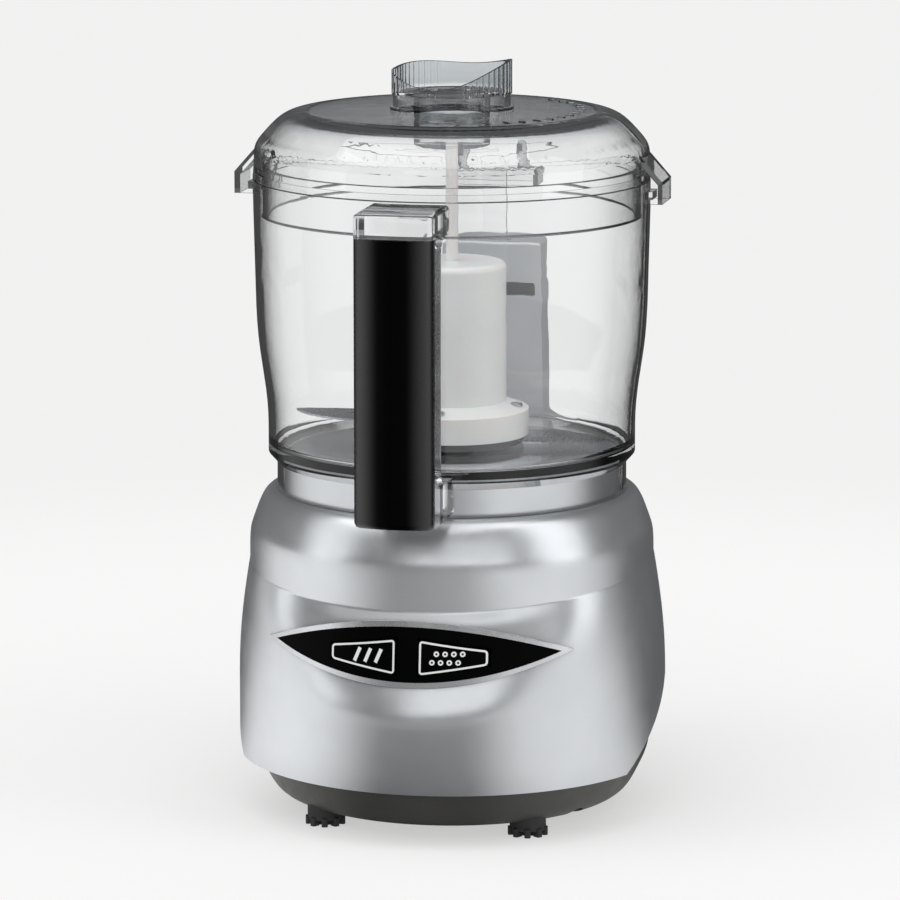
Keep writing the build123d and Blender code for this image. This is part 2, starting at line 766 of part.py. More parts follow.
with BuildPart() as gearbox_plate:
    with BuildSketch(Plane.XY.offset(PLATE_Z)):
        with Locations((0, 5)):
            RectangleRounded(70, 78, 10)
        Circle(BUSH_R, mode=Mode.SUBTRACT)
        with Locations((0, MOTOR_Y)):
            Circle(8, mode=Mode.SUBTRACT)
        with Locations(*STANDOFFS):
            Circle(1.6, mode=Mode.SUBTRACT)
        with Locations((-22, MOTOR_Y), (22, MOTOR_Y)):
            Circle(1.7, mode=Mode.SUBTRACT)
    extrude(amount=PLATE_THICK)
save(gearbox_plate.part, "gearbox_plate")

with BuildPart() as gearbox_screws:
    for x, y in STANDOFFS:
        add(pan_screw(Plane((x, y, PLATE_Z), z_dir=(0, 0, -1)), 1.25, 11, 2.7, 1.8))
save(gearbox_screws.part, "gearbox_screws")

# Long bolts clamp the lower bracket, the core and the gearbox plate together.
with BuildPart() as motor_bolts:
    for side in (-1, 1):
        bolt_plane = Plane((side * 22, MOTOR_Y, LOWER_BRACKET_Z), z_dir=(0, 0, -1))
        add(pan_screw(bolt_plane, 1.5, PLATE_Z + 6 - LOWER_BRACKET_Z, 2.8, 1.8))
        with BuildSketch(Plane((side * 22, MOTOR_Y, PLATE_Z + PLATE_THICK))):
            RegularPolygon(2.9, 6)
            Circle(1.5, mode=Mode.SUBTRACT)
        extrude(amount=2.0)
save(motor_bolts.part, "motor_bolts")

with BuildPart() as core_spacers:
    for side in (-1, 1):
        with BuildSketch(Plane((side * 22, MOTOR_Y, CORE_Z + CORE_TALL))):
            Circle(3.0)
            Circle(1.7, mode=Mode.SUBTRACT)
        extrude(amount=PLATE_Z - CORE_Z - CORE_TALL)
save(core_spacers.part, "core_spacers")

save(ring(6.5, SHAFT_R + RUNNING, LOWER_BRACKET_Z - 1, LOWER_BRACKET_Z + 4, MOTOR_Y), "lower_bearing")
save(ring(8.0, SHAFT_R + RUNNING, PLATE_Z - 1, PLATE_Z + 4, MOTOR_Y), "upper_bearing")

# ---------------------------------------------------------------- base: gearing
def gear_outline(teeth, start_angle):
    """A spur gear's outline: involute flanks with a little backlash, first tooth at start_angle."""
    pitch_r = GEAR_MODULE * teeth / 2
    base_r = pitch_r * cos(PRESSURE)
    tip_r = pitch_r + 0.92 * GEAR_MODULE
    root_r = pitch_r - 1.25 * GEAR_MODULE
    foot_r = max(base_r, root_r + 0.15)
    rolled_at_pitch = tan(PRESSURE) - PRESSURE
    half_tooth = pi / (2 * teeth) + rolled_at_pitch - TOOTH_THIN / pitch_r

    def flank(radius, tooth_angle, side):
        slope = acos(min(1.0, base_r / radius))
        angle = tooth_angle + side * (half_tooth - (tan(slope) - slope))
        return (radius * cos(angle), radius * sin(angle))

    flank_radii = [foot_r, (foot_r + pitch_r) / 2, pitch_r, (pitch_r + tip_r) / 2, tip_r]
    points = []
    for tooth in range(teeth):
        tooth_angle = start_angle + 2 * pi * tooth / teeth
        rise = [flank(radius, tooth_angle, -1) for radius in flank_radii]
        fall = [flank(radius, tooth_angle, 1) for radius in reversed(flank_radii)]
        rise_angle = tooth_angle - half_tooth
        fall_angle = tooth_angle + half_tooth
        root_in = (root_r * cos(rise_angle), root_r * sin(rise_angle))
        root_out = (root_r * cos(fall_angle), root_r * sin(fall_angle))
        points += [root_in] + rise + fall + [root_out]
    with BuildLine() as outline:
        Polyline(*points, close=True)
    return outline.line


with BuildPart() as drive_pinion:
    with BuildSketch(Plane((0, MOTOR_Y, GEAR_Z - 1))):
        make_face(gear_outline(PINION_TEETH, -pi / 2).edges())
        Circle(SHAFT_R, mode=Mode.SUBTRACT)
    extrude(amount=GEAR_FACE + 2)
save(drive_pinion.part, "drive_pinion")

with BuildPart() as drive_gear:
    with BuildSketch(Plane.XY.offset(GEAR_Z)):
        make_face(gear_outline(GEAR_TEETH, pi / 2 + pi / GEAR_TEETH).edges())
        Circle(SPINDLE_R, mode=Mode.SUBTRACT)
    extrude(amount=GEAR_FACE)
    for face_z, depth in ((GEAR_Z, 2.0), (GEAR_Z + GEAR_FACE, -2.0)):
        with BuildSketch(Plane.XY.offset(face_z)):
            Circle(14.0)
            Circle(7.5, mode=Mode.SUBTRACT)
        extrude(amount=depth, mode=Mode.SUBTRACT)
    add(ring(7.0, SPINDLE_R, GEAR_Z - 1, GEAR_Z + GEAR_FACE + 2))
save(drive_gear.part, "drive_gear")

with BuildPart() as gear_ring_clip:
    with BuildSketch(Plane.XY.offset(GEAR_Z + GEAR_FACE + 2)):
        Circle(6.0)
        Circle(SPINDLE_R, mode=Mode.SUBTRACT)
        with Locations((0, -5)):
            Rectangle(3, 5, mode=Mode.SUBTRACT)
    extrude(amount=1.0)
save(gear_ring_clip.part, "gear_ring_clip")

with BuildPart() as drive_spindle:
    add(ring(SPINDLE_R, 0, PLATE_Z + 0.3, HEX_FOOT))
    chamfer(drive_spindle.faces().sort_by(Axis.Z)[0].edges(), 0.5)
    with BuildSketch(Plane.XY.offset(HEX_FOOT)):
        RegularPolygon(HEX_FLATS / 2, 6, major_radius=False)
    extrude(amount=SPINDLE_TOP - HEX_FOOT)
    chamfer(drive_spindle.faces().sort_by(Axis.Z)[-1].edges(), 0.6)
save(drive_spindle.part, "drive_spindle")

with BuildPart() as lower_spindle_bush:
    add(ring(BUSH_R, SPINDLE_R + RUNNING, PLATE_Z, PLATE_Z + PLATE_THICK))
    add(ring(BUSH_R + 2, SPINDLE_R + RUNNING, PLATE_Z + PLATE_THICK, PLATE_Z + PLATE_THICK + 2))
save(lower_spindle_bush.part, "lower_spindle_bush")

save(ring(BUSH_R, SPINDLE_R + RUNNING, BOSS_TOP - 14, BOSS_TOP - 4), "upper_spindle_bush")

with BuildPart() as spindle_seal:
    with BuildSketch(Plane.XZ):
        with BuildLine():
            Polyline(
                (SPINDLE_R + 0.1, BOSS_TOP - 3.8),
                (BUSH_R, BOSS_TOP - 3.8),
                (BUSH_R, BOSS_TOP - 0.2),
                (SPINDLE_R + 1.6, BOSS_TOP + 0.4),
                (SPINDLE_R + 0.1, BOSS_TOP - 0.8),
                close=True,
            )
        make_face()
    revolve(axis=Axis.Z)
save(spindle_seal.part, "spindle_seal")

# ---------------------------------------------------------------- bowl and handle
def bowl_side(shrink, low, high):
    """The bowl's gently waisted side from low to high, moved inward by a wall."""
    with BuildLine() as side:
        foot = Line((BOWL_LOW_R - shrink, low), (BOWL_LOW_R - shrink, 121))
        Spline(
            foot @ 1,
            (BOWL_LOW_R + 2.8 - shrink, 147),
            (BOWL_RIM_R - 0.5 - shrink, 172),
            (BOWL_RIM_R - shrink, high),
            tangents=((0, 1), (0, 1)),
        )
    return side.line


with BuildPart() as handle_block:
    with BuildSketch(Plane.YZ.offset(-HANDLE_W / 2)):
        with BuildLine():
            FilletPolyline(
                (-50, GRIP_TOP - 1),
                (-HANDLE_BACK, GRIP_TOP - 1),
                (-HANDLE_BACK, HANDLE_LOW + 11),
                (-50, HANDLE_LOW + 11),
                radius=5,
            )
            Line((-50, HANDLE_LOW + 11), (-50, HANDLE_LOW))
            Line((-50, HANDLE_LOW), (-REACH + GRIP_DEPTH + 0.1, HANDLE_LOW))
            Line((-REACH + GRIP_DEPTH + 0.1, HANDLE_LOW), (-REACH + GRIP_DEPTH + 0.1, GRIP_TOP + 0.1))
            Line((-REACH + GRIP_DEPTH + 0.1, GRIP_TOP + 0.1), (-REACH + 1.2, GRIP_TOP + 0.1))
            Line((-REACH + 1.2, GRIP_TOP + 0.1), (-REACH + 1.2, BOWL_RIM_Z - 0.4))
            Line((-REACH + 1.2, BOWL_RIM_Z - 0.4), (-50, BOWL_RIM_Z - 0.4))
            Line((-50, BOWL_RIM_Z - 0.4), (-50, GRIP_TOP - 1))
        make_face()
    extrude(amount=HANDLE_W)
    fillet(handle_block.edges().filter_by(Axis.Y).group_by(Axis.Z)[-1], 1.5)
    fillet(handle_block.edges().filter_by(Axis.Z).group_by(Axis.Y)[0], 1.5)

with BuildPart() as bowl:
    with BuildSketch(Plane.XZ):
        with BuildLine():
            Polyline(
                (0, SKIRT_Z),
                (SKIRT_R, SKIRT_Z),
                (SKIRT_R, BOWL_FLOOR_Z - 3),
                (BOWL_LOW_R, BOWL_FLOOR_Z),
            )
            side = bowl_side(0, BOWL_FLOOR_Z, BOWL_RIM_Z)
            add(side)
            Polyline(side @ 1, (0, BOWL_RIM_Z), (0, SKIRT_Z))
        make_face()
    revolve(axis=Axis.Z)
    add(handle_block.part)
    # Lugs under the rim that the lid's ears close over.
    with BuildSketch(Plane.XY.offset(EAR_LOW + 1)):
        Rectangle(2 * BOWL_RIM_R + 4.4, 9)
    extrude(amount=2.4)
    # The space inside the bowl.
    with BuildSketch(Plane.XZ):
        with BuildLine():
            inner = bowl_side(BOWL_WALL, BOWL_FLOOR_Z + FLOOR_THICK + 3, BOWL_RIM_Z)
            add(inner)
            Polyline(
                inner @ 1,
                ((inner @ 1).X, BOWL_RIM_Z + 5),
                (0, BOWL_RIM_Z + 5),
                (0, BOWL_FLOOR_Z + FLOOR_THICK),
                (BOWL_LOW_R - BOWL_WALL - 3, BOWL_FLOOR_Z + FLOOR_THICK),
            )
            ThreePointArc(
                (BOWL_LOW_R - BOWL_WALL - 3, BOWL_FLOOR_Z + FLOOR_THICK),
                (BOWL_LOW_R - BOWL_WALL - 0.9, BOWL_FLOOR_Z + FLOOR_THICK + 0.9),
                inner @ 0,
            )
        make_face()
    revolve(axis=Axis.Z, mode=Mode.SUBTRACT)
    # The skirt's inside, which slides over the base's boss.
    with BuildSketch(Plane.XY.offset(SKIRT_Z - 1)):
        Circle(BOSS_R + 0.4)
    extrude(amount=BOWL_FLOOR_Z - SKIRT_Z + 1, mode=Mode.SUBTRACT)
    # The tall tube that keeps the bowl's contents away from the spindle.
    add(ring(TUBE_R, 0, BOWL_FLOOR_Z, TUBE_TOP))
    add(ring(TUBE_BORE, 0, BOWL_FLOOR_Z - 1, TUBE_TOP + 1), mode=Mode.SUBTRACT)
save(bowl.part, "bowl")

with BuildPart() as grip_insert:
    with BuildSketch(Plane.XY.offset(HANDLE_LOW)):
        with BuildLine():
            back_y = -REACH + GRIP_DEPTH
            edge_y = -REACH + GRIP_CROWN
            half = HANDLE_W / 2 + 0.2
            Polyline((-half, edge_y), (-half, back_y), (half, back_y), (half, edge_y))
            ThreePointArc((-half, edge_y), (0, -REACH), (half, edge_y))
        make_face()
    extrude(amount=GRIP_TOP - HANDLE_LOW)
    fillet(grip_insert.edges().filter_by(Axis.Z).group_by(Axis.Y)[0], 2.4)
    fillet(grip_insert.faces().sort_by(Axis.Z)[0].edges().sort_by(Axis.Y)[:1], 2.0)
save(grip_insert.part, "grip_insert")

# ---------------------------------------------------------------- knife
RIVET_R = 1.3
RIVET_RING = 20.4


def blade(low, turn):
    """A flat curved blade from the hub to its tip, ground thin along both edges."""
    tip = (BLADE_TIP_R, -2.3)
    with BuildPart() as body:
        with BuildSketch(Plane.XY.offset(low).rotated((0, 0, turn))):
            with BuildLine():
                Line((18.2, -6), (18.2, 11))
                ThreePointArc((18.2, 11), (38, 9.6), tip)
                ThreePointArc(tip, (36, -4.4), (18.2, -6))
            make_face()
            with Locations((RIVET_RING, 0)):
                Circle(RIVET_R, mode=Mode.SUBTRACT)
        extrude(amount=BLADE_THICK)
        chamfer(
            body.faces().sort_by(Axis.Z)[-1].edges().filter_by(lambda e: e.length > 20),
            0.55,
            2.2,
        )
    return body.part


upper_blade_part = blade(FLANGE_TOP - 3.4, 180)
lower_blade_part = blade(FLANGE_LOW - BLADE_THICK, 0)
save(upper_blade_part, "upper_blade")
save(lower_blade_part, "lower_blade")

with BuildPart() as blade_rivets:
    with BuildSketch(Plane.XY.offset(KNIFE_LOW + 0.2)):
        with PolarLocations(RIVET_RING, 4):
            Circle(RIVET_R)
    extrude(amount=FLANGE_TOP + FLANGE_RISE / 2 - KNIFE_LOW)
    with BuildSketch(Plane.XY.offset(FLANGE_TOP + FLANGE_RISE / 2 - 0.2)):
        with PolarLocations(RIVET_RING, 4):
            Circle(RIVET_R + 0.7)
    extrude(amount=1.0)
    fillet(blade_rivets.faces().group_by(Axis.Z)[-1].edges(), 0.5)

with BuildPart() as blade_hub:
    with BuildSketch(Plane.XZ):
        with BuildLine():
            Polyline(
                (TUBE_R + 1.2, FLANGE_LOW),
                (FLANGE_R, FLANGE_LOW),
                (FLANGE_R, FLANGE_TOP),
                (HUB_R, FLANGE_TOP + FLANGE_RISE),
                (HUB_R, HUB_TOP - 2),
            )
            ThreePointArc((HUB_R, HUB_TOP - 2), (HUB_R - 0.6, HUB_TOP - 0.6), (HUB_R - 2, HUB_TOP))
            Polyline(
                (HUB_R - 2, HUB_TOP),
                (0, HUB_TOP),
                (0, HUB_TOP - 12),
                (TUBE_R + 1.2, HUB_TOP - 12),
                (TUBE_R + 1.2, FLANGE_LOW),
            )
        make_face()
    revolve(axis=Axis.Z)
    # The hub is hollow between its outer wall and the sleeve round the bowl's tube.
    add(ring(HUB_R - HUB_WALL, TUBE_R + 3.0, FLANGE_TOP + 1, HUB_TOP - HUB_WALL), mode=Mode.SUBTRACT)
    add(ring(TUBE_R + 1.2, 0, FLANGE_LOW - 1, HEX_FOOT + 0.6), mode=Mode.SUBTRACT)
    add(ring(TUBE_R + 3.0, 0, HEX_FOOT + 0.6, HUB_TOP - HUB_WALL))
    with BuildSketch(Plane.XY.offset(HEX_FOOT + 0.5)):
        RegularPolygon(HEX_FLATS / 2 + 0.3, 6, major_radius=False)
    extrude(amount=SPINDLE_TOP - HEX_FOOT + 1.4, mode=Mode.SUBTRACT)
    add(ring(PIN_R, 0, HUB_TOP - 6, HUB_TOP + 1), mode=Mode.SUBTRACT)
    add(blade_rivets.part, mode=Mode.SUBTRACT)
    add(upper_blade_part, mode=Mode.SUBTRACT)
save(blade_hub.part, "blade_hub")
save(blade_rivets.part, "blade_rivets")

with BuildPart() as hub_base_ring:
    add(ring(FLANGE_R - 1.6, TUBE_R + 1.2, KNIFE_LOW, FLANGE_LOW))
    add(lower_blade_part, mode=Mode.SUBTRACT)
    add(blade_rivets.part, mode=Mode.SUBTRACT)
save(hub_base_ring.part, "hub_base_ring")

with BuildPart() as hub_pin:
    add(ring(PIN_R, 0, HUB_TOP - 6, PIN_TOP))
    fillet(hub_pin.faces().sort_by(Axis.Z)[-1].edges(), 1.2)
save(hub_pin.part, "hub_pin")

# ---------------------------------------------------------------- lid
def lid_outline(shrink):
    """Half outline of the lid's dome, moved inward by a wall's thickness."""
    rim_z = BOWL_RIM_Z + LID_GAP
    with BuildLine() as outline:
        wall = Line((BOWL_RIM_R - shrink, rim_z), (BOWL_RIM_R - 0.4 - shrink, 206))
        dome = Spline(
            wall @ 1,
            (BOWL_RIM_R - 3.2 - shrink, 211.6 - shrink * 0.5),
            (53.0 - shrink * 0.7, 216.8 - shrink * 0.8),
            (LID_FLAT_R - shrink * 0.5, LID_TOP - shrink),
            tangents=((-0.05, 1), (-1, 0.12)),
        )
        Polyline(dome @ 1, (0, LID_TOP + 0.4 - shrink), (0, rim_z), wall @ 0)
    return outline.line


def knob_oval(grow, low, high):
    """The pouring cup's oval, turned a little about the lid's axis."""
    with BuildPart() as oval:
        with BuildSketch(Plane.XY.offset(low).rotated((0, 0, KNOB_TURN))):
            Ellipse(KNOB_HALF + grow, KNOB_DEPTH + grow)
        extrude(amount=high - low)
    return oval.part


def knob_ribs(grow, first, last, count):
    """Upright ribs along the oval wall, between two angles of its outline."""
    with BuildPart() as ribs:
        with BuildSketch(Plane.XY.offset(KNOB_FLOOR_Z - 1).rotated((0, 0, KNOB_TURN))):
            for step in range(count):
                angle = radians(first + (last - first) * step / (count - 1))
                with Locations(((KNOB_HALF + grow) * cos(angle), (KNOB_DEPTH + grow) * sin(angle))):
                    Circle(0.5)
        extrude(amount=KNOB_TOP - KNOB_FLOOR_Z + 1)
    return ribs.part


def knob_rim_cut(front):
    """What is above the cup's wavy rim, over its front or its rear half."""
    side = -1 if front else 1
    with BuildPart() as cut:
        with BuildSketch(Plane.XZ.rotated((0, 0, KNOB_TURN))):
            with BuildLine():
                if front:
                    rim = Spline(
                        (-KNOB_HALF - 1, KNOB_TOP - 3.4),
                        (-KNOB_HALF * 0.6, KNOB_DIP + 0.2),
                        (0, KNOB_DIP + 0.6),
                        (KNOB_HALF * 0.5, KNOB_DIP + 4.2),
                        (KNOB_HALF + 1, KNOB_TOP),
                    )
                else:
                    rim = Spline(
                        (-KNOB_HALF - 1, KNOB_TOP - 3.4),
                        (-KNOB_HALF * 0.5, KNOB_TOP - 1.6),
                        (KNOB_HALF * 0.4, KNOB_TOP - 2.4),
                        (KNOB_HALF + 1, KNOB_TOP),
                    )
                Polyline(
                    rim @ 1, (KNOB_HALF + 1, KNOB_TOP + 2), (-KNOB_HALF - 1, KNOB_TOP + 2), rim @ 0
                )
            make_face()
        extrude(amount=-side * (KNOB_DEPTH + 3))
    return cut.part


with BuildPart() as lid:
    with BuildSketch(Plane.XZ):
        make_face(lid_outline(0).edges())
    revolve(axis=Axis.Z)
    # Ears at both sides, tongue behind: blocks that the hollows below open up.
    for side in (-1, 1):
        with BuildSketch(Plane.XZ.offset(-EAR_HALF)):
            with BuildLine():
                Polyline(
                    (side * 57, 208),
                    (side * 59.4, 208),
                    (side * EAR_OUT, 199),
                    (side * EAR_OUT, EAR_LOW),
                    (side * 57, EAR_LOW),
                    close=True,
                )
            make_face()
        extrude(amount=2 * EAR_HALF)
    with BuildSketch(Plane.XY.offset(TONGUE_LOW)):
        with Locations((0, (TONGUE_FRONT + TONGUE_REAR) / 2)):
            RectangleRounded(2 * TONGUE_HALF, TONGUE_REAR - TONGUE_FRONT, 2)
    extrude(amount=TONGUE_TOP - TONGUE_LOW)
    for side in (-1, 1):
        with BuildSketch(Plane.YZ.offset(side * 10 - 1)):
            with BuildLine():
                Polyline(
                    (56, 207), (59.5, 207), (TONGUE_REAR - 2, TONGUE_TOP), (56, TONGUE_TOP), close=True
                )
            make_face()
        extrude(amount=2)
    # Open the ears and the tongue from below.
    for side in (-1, 1):
        with BuildSketch(Plane.XZ.offset(-EAR_HALF + 1.5)):
            with BuildLine():
                Polyline(
                    (side * 50, 206.0),
                    (side * 58.6, 206.0),
                    (side * (EAR_OUT - 1.6), 198.0),
                    (side * (EAR_OUT - 1.6), EAR_LOW - 1),
                    (side * 50, EAR_LOW - 1),
                    close=True,
                )
            make_face()
        extrude(amount=2 * EAR_HALF - 3, mode=Mode.SUBTRACT)
    with BuildSketch(Plane.XY.offset(TONGUE_LOW - 1)):
        with Locations((0, (TONGUE_FRONT + TONGUE_REAR) / 2)):
            Rectangle(2 * TONGUE_HALF - 3.2, TONGUE_REAR - TONGUE_FRONT - 3.2)
    extrude(amount=TONGUE_TOP - TONGUE_LOW - 1, mode=Mode.SUBTRACT)
    with BuildSketch(Plane.XY):
        Circle(BOWL_RIM_R + 0.5)
    extrude(amount=BOWL_RIM_Z + LID_GAP, mode=Mode.SUBTRACT)
    with BuildSketch(Plane.XZ):
        make_face(lid_outline(LID_WALL).edges())
    revolve(axis=Axis.Z, mode=Mode.SUBTRACT)
    # The inner skirt that drops into the bowl.
    add(ring(LID_SKIRT_R, LID_SKIRT_R - 1.6, LID_SKIRT_Z, BOWL_RIM_Z + LID_GAP + 4))
    ledge_z = BOWL_RIM_Z + LID_GAP + 2
    add(ring(BOWL_RIM_R - LID_WALL / 2, LID_SKIRT_R - 1.6, ledge_z, ledge_z + 2))
    # The finger that reaches the interlock rod in the column.
    with BuildSketch(Plane.XY.offset(ROD_TOP + 0.5)):
        with Locations((0, ROD_Y)):
            RectangleRounded(8, 2.4, 0.6)
    extrude(amount=TONGUE_TOP - ROD_TOP - 1)
    # The socket that steadies the knife's pin.
    add(ring(SOCKET_R, SOCKET_R - 1.6, SOCKET_Z, LID_TOP - 1))
    add(ring(SOCKET_R - 1, PIN_R + 0.3, SOCKET_Z, SOCKET_Z + 1.6))
    # The pouring cup with its ribbed wall and wavy rim.
    add(knob_oval(1.0, LID_TOP - 1, LID_TOP + 1.2))
    add(knob_oval(0, LID_TOP - 1, KNOB_TOP))
    add(knob_ribs(0, -82, 14, 15))
    add(knob_ribs(0, 165, 200, 5))
    add(knob_oval(-KNOB_WALL, KNOB_FLOOR_Z, KNOB_TOP + 1), mode=Mode.SUBTRACT)
    add(knob_ribs(-KNOB_WALL, 100, 160, 9))
    add(knob_oval(-KNOB_WALL, LID_TOP - 5, KNOB_FLOOR_Z - 1.4), mode=Mode.SUBTRACT)
    add(ring(SOCKET_R, SOCKET_R - 1.6, LID_TOP - 4, LID_TOP + 5))
    add(knob_rim_cut(True), mode=Mode.SUBTRACT)
    add(knob_rim_cut(False), mode=Mode.SUBTRACT)
    with BuildSketch(Plane.XY.offset(LID_TOP + 4)):
        with Locations((-5, -2), (5, 2)):
            Circle(1.2)
    extrude(amount=3, mode=Mode.SUBTRACT)
save(lid.part, "lid")
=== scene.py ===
"""Studio scene of a small food processor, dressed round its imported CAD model."""

import json
from math import cos, pi, radians, sin

import bmesh
import bpy
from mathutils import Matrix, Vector
from mathutils.bvhtree import BVHTree


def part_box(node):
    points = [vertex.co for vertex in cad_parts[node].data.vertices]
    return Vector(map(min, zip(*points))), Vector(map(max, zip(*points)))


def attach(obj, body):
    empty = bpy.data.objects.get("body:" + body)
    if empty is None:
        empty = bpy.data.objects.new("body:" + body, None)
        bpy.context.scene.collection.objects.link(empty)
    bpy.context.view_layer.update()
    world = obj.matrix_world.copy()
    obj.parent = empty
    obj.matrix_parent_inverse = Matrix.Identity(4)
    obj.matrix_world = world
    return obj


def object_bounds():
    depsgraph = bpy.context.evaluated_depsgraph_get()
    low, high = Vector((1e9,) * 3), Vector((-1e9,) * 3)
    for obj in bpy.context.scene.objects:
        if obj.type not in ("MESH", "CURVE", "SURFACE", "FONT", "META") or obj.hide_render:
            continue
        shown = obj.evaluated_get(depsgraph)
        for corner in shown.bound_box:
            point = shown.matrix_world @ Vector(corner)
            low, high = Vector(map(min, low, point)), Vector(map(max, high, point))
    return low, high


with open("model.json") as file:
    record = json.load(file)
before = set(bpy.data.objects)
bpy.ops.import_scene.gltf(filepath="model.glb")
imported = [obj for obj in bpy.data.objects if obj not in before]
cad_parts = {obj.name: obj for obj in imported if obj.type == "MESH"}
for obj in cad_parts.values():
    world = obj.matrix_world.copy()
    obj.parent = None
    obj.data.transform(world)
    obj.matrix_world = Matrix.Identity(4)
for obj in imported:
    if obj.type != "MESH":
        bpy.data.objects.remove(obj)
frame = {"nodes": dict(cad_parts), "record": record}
cad_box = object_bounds()
scene = bpy.context.scene
slot_of = {part["node"]: part["material_slot"] for part in frame["record"]["subparts"]}


# ---- node helpers -------------------------------------------------------------


def add_node(tree, kind, **values):
    """A shader node, with each value set as a property or on the input of that name."""
    made = tree.nodes.new(kind)
    for name, value in values.items():
        label = name.replace("_", " ")
        if hasattr(made, name):
            setattr(made, name, value)
        else:
            made.inputs[label].default_value = value
    return made


def object_points(tree, stretch=(1, 1, 1)):
    """Coordinates in the shared frame, in metres, stretched per axis for a directional grain."""
    coords = add_node(tree, "ShaderNodeTexCoord")
    mapping = add_node(tree, "ShaderNodeMapping", Scale=stretch)
    tree.links.new(coords.outputs["Object"], mapping.inputs["Vector"])
    return mapping.outputs["Vector"]


def noise(tree, points, scale, detail=3.0):
    """A smooth random value; scale is in features per metre."""
    made = add_node(tree, "ShaderNodeTexNoise", Scale=scale, Detail=detail)
    tree.links.new(points, made.inputs["Vector"])
    return made.outputs["Fac"]


def spread(tree, value, low, high):
    """A noise value stretched over a range, from its usual 0.3 to 0.7."""
    made = add_node(tree, "ShaderNodeMapRange", From_Min=0.3, From_Max=0.7, To_Min=low, To_Max=high)
    tree.links.new(value, made.inputs["Value"])
    return made.outputs["Result"]


def two_tone(tree, value, dark, light):
    """A colour between two, chosen by a noise value."""
    ramp = add_node(tree, "ShaderNodeValToRGB")
    ramp.color_ramp.elements[0].position = 0.3
    ramp.color_ramp.elements[0].color = (*dark, 1)
    ramp.color_ramp.elements[1].position = 0.7
    ramp.color_ramp.elements[1].color = (*light, 1)
    tree.links.new(value, ramp.inputs["Fac"])
    return ramp.outputs["Color"]


def calc(tree, operation, *values):
    """One math node; each value is a number or another node's output."""
    made = add_node(tree, "ShaderNodeMath", operation=operation)
    for socket, value in zip(made.inputs, values):
        if isinstance(value, (int, float)):
            socket.default_value = value
        else:
            tree.links.new(value, socket)
    return made.outputs["Value"]


def fade(tree, value, start, end):
    """A smooth step from 0 at one value to 1 at another."""
    made = add_node(tree, "ShaderNodeMapRange", interpolation_type="SMOOTHSTEP")
    for name, number in (("Value", value), ("From Min", start), ("From Max", end)):
        if isinstance(number, (int, float)):
            made.inputs[name].default_value = number
        else:
            tree.links.new(number, made.inputs[name])
    return made.outputs["Result"]


def product(tree, first, *others):
    """Several numbers or outputs multiplied together."""
    for other in others:
        first = calc(tree, "MULTIPLY", first, other)
    return first


def place_axes(tree):
    """The x, y and z of each shaded point in the shared frame, in metres."""
    coords = add_node(tree, "ShaderNodeTexCoord")
    split = add_node(tree, "ShaderNodeSeparateXYZ")
    tree.links.new(coords.outputs["Object"], split.inputs[0])
    return [split.outputs[axis] for axis in "XYZ"]


def set_normal(tree, vector):
    """Shade with this direction, made one long, under the surface's fine grain."""
    unit = add_node(tree, "ShaderNodeVectorMath", operation="NORMALIZE")
    tree.links.new(vector, unit.inputs[0])
    bump = next(node for node in tree.nodes if node.type == "BUMP")
    tree.links.new(unit.outputs["Vector"], bump.inputs["Normal"])


def surface(name, dark, light, rough, grain, depth, blotch=40.0, stretch=(1, 1, 1), **constants):
    """A moulded, painted or ground surface: blotchy colour, uneven roughness and a fine grain.

    grain is in features per metre, depth in metres, and constants go straight on the shader.
    """
    material = bpy.data.materials.new(name)
    material.use_nodes = True
    tree = material.node_tree
    shader = tree.nodes["Principled BSDF"]
    for label, value in constants.items():
        shader.inputs[label.replace("_", " ")].default_value = value
    points = object_points(tree, stretch)
    tone = noise(tree, points, blotch)
    tree.links.new(two_tone(tree, tone, dark, light), shader.inputs["Base Color"])
    wear = noise(tree, points, blotch * 5)
    tree.links.new(spread(tree, wear, *rough), shader.inputs["Roughness"])
    bump = add_node(tree, "ShaderNodeBump", Strength=1.0, Distance=depth)
    tree.links.new(noise(tree, points, grain, 2.0), bump.inputs["Height"])
    tree.links.new(bump.outputs["Normal"], shader.inputs["Normal"])
    return material


PAINTED_SHADE_TINT = (1.14, 1.02, 0.96)  # the painted shade takes a little more red than blue
FLOW_GRAIN = 60.0
FLOW_DEPTH = 0.00004


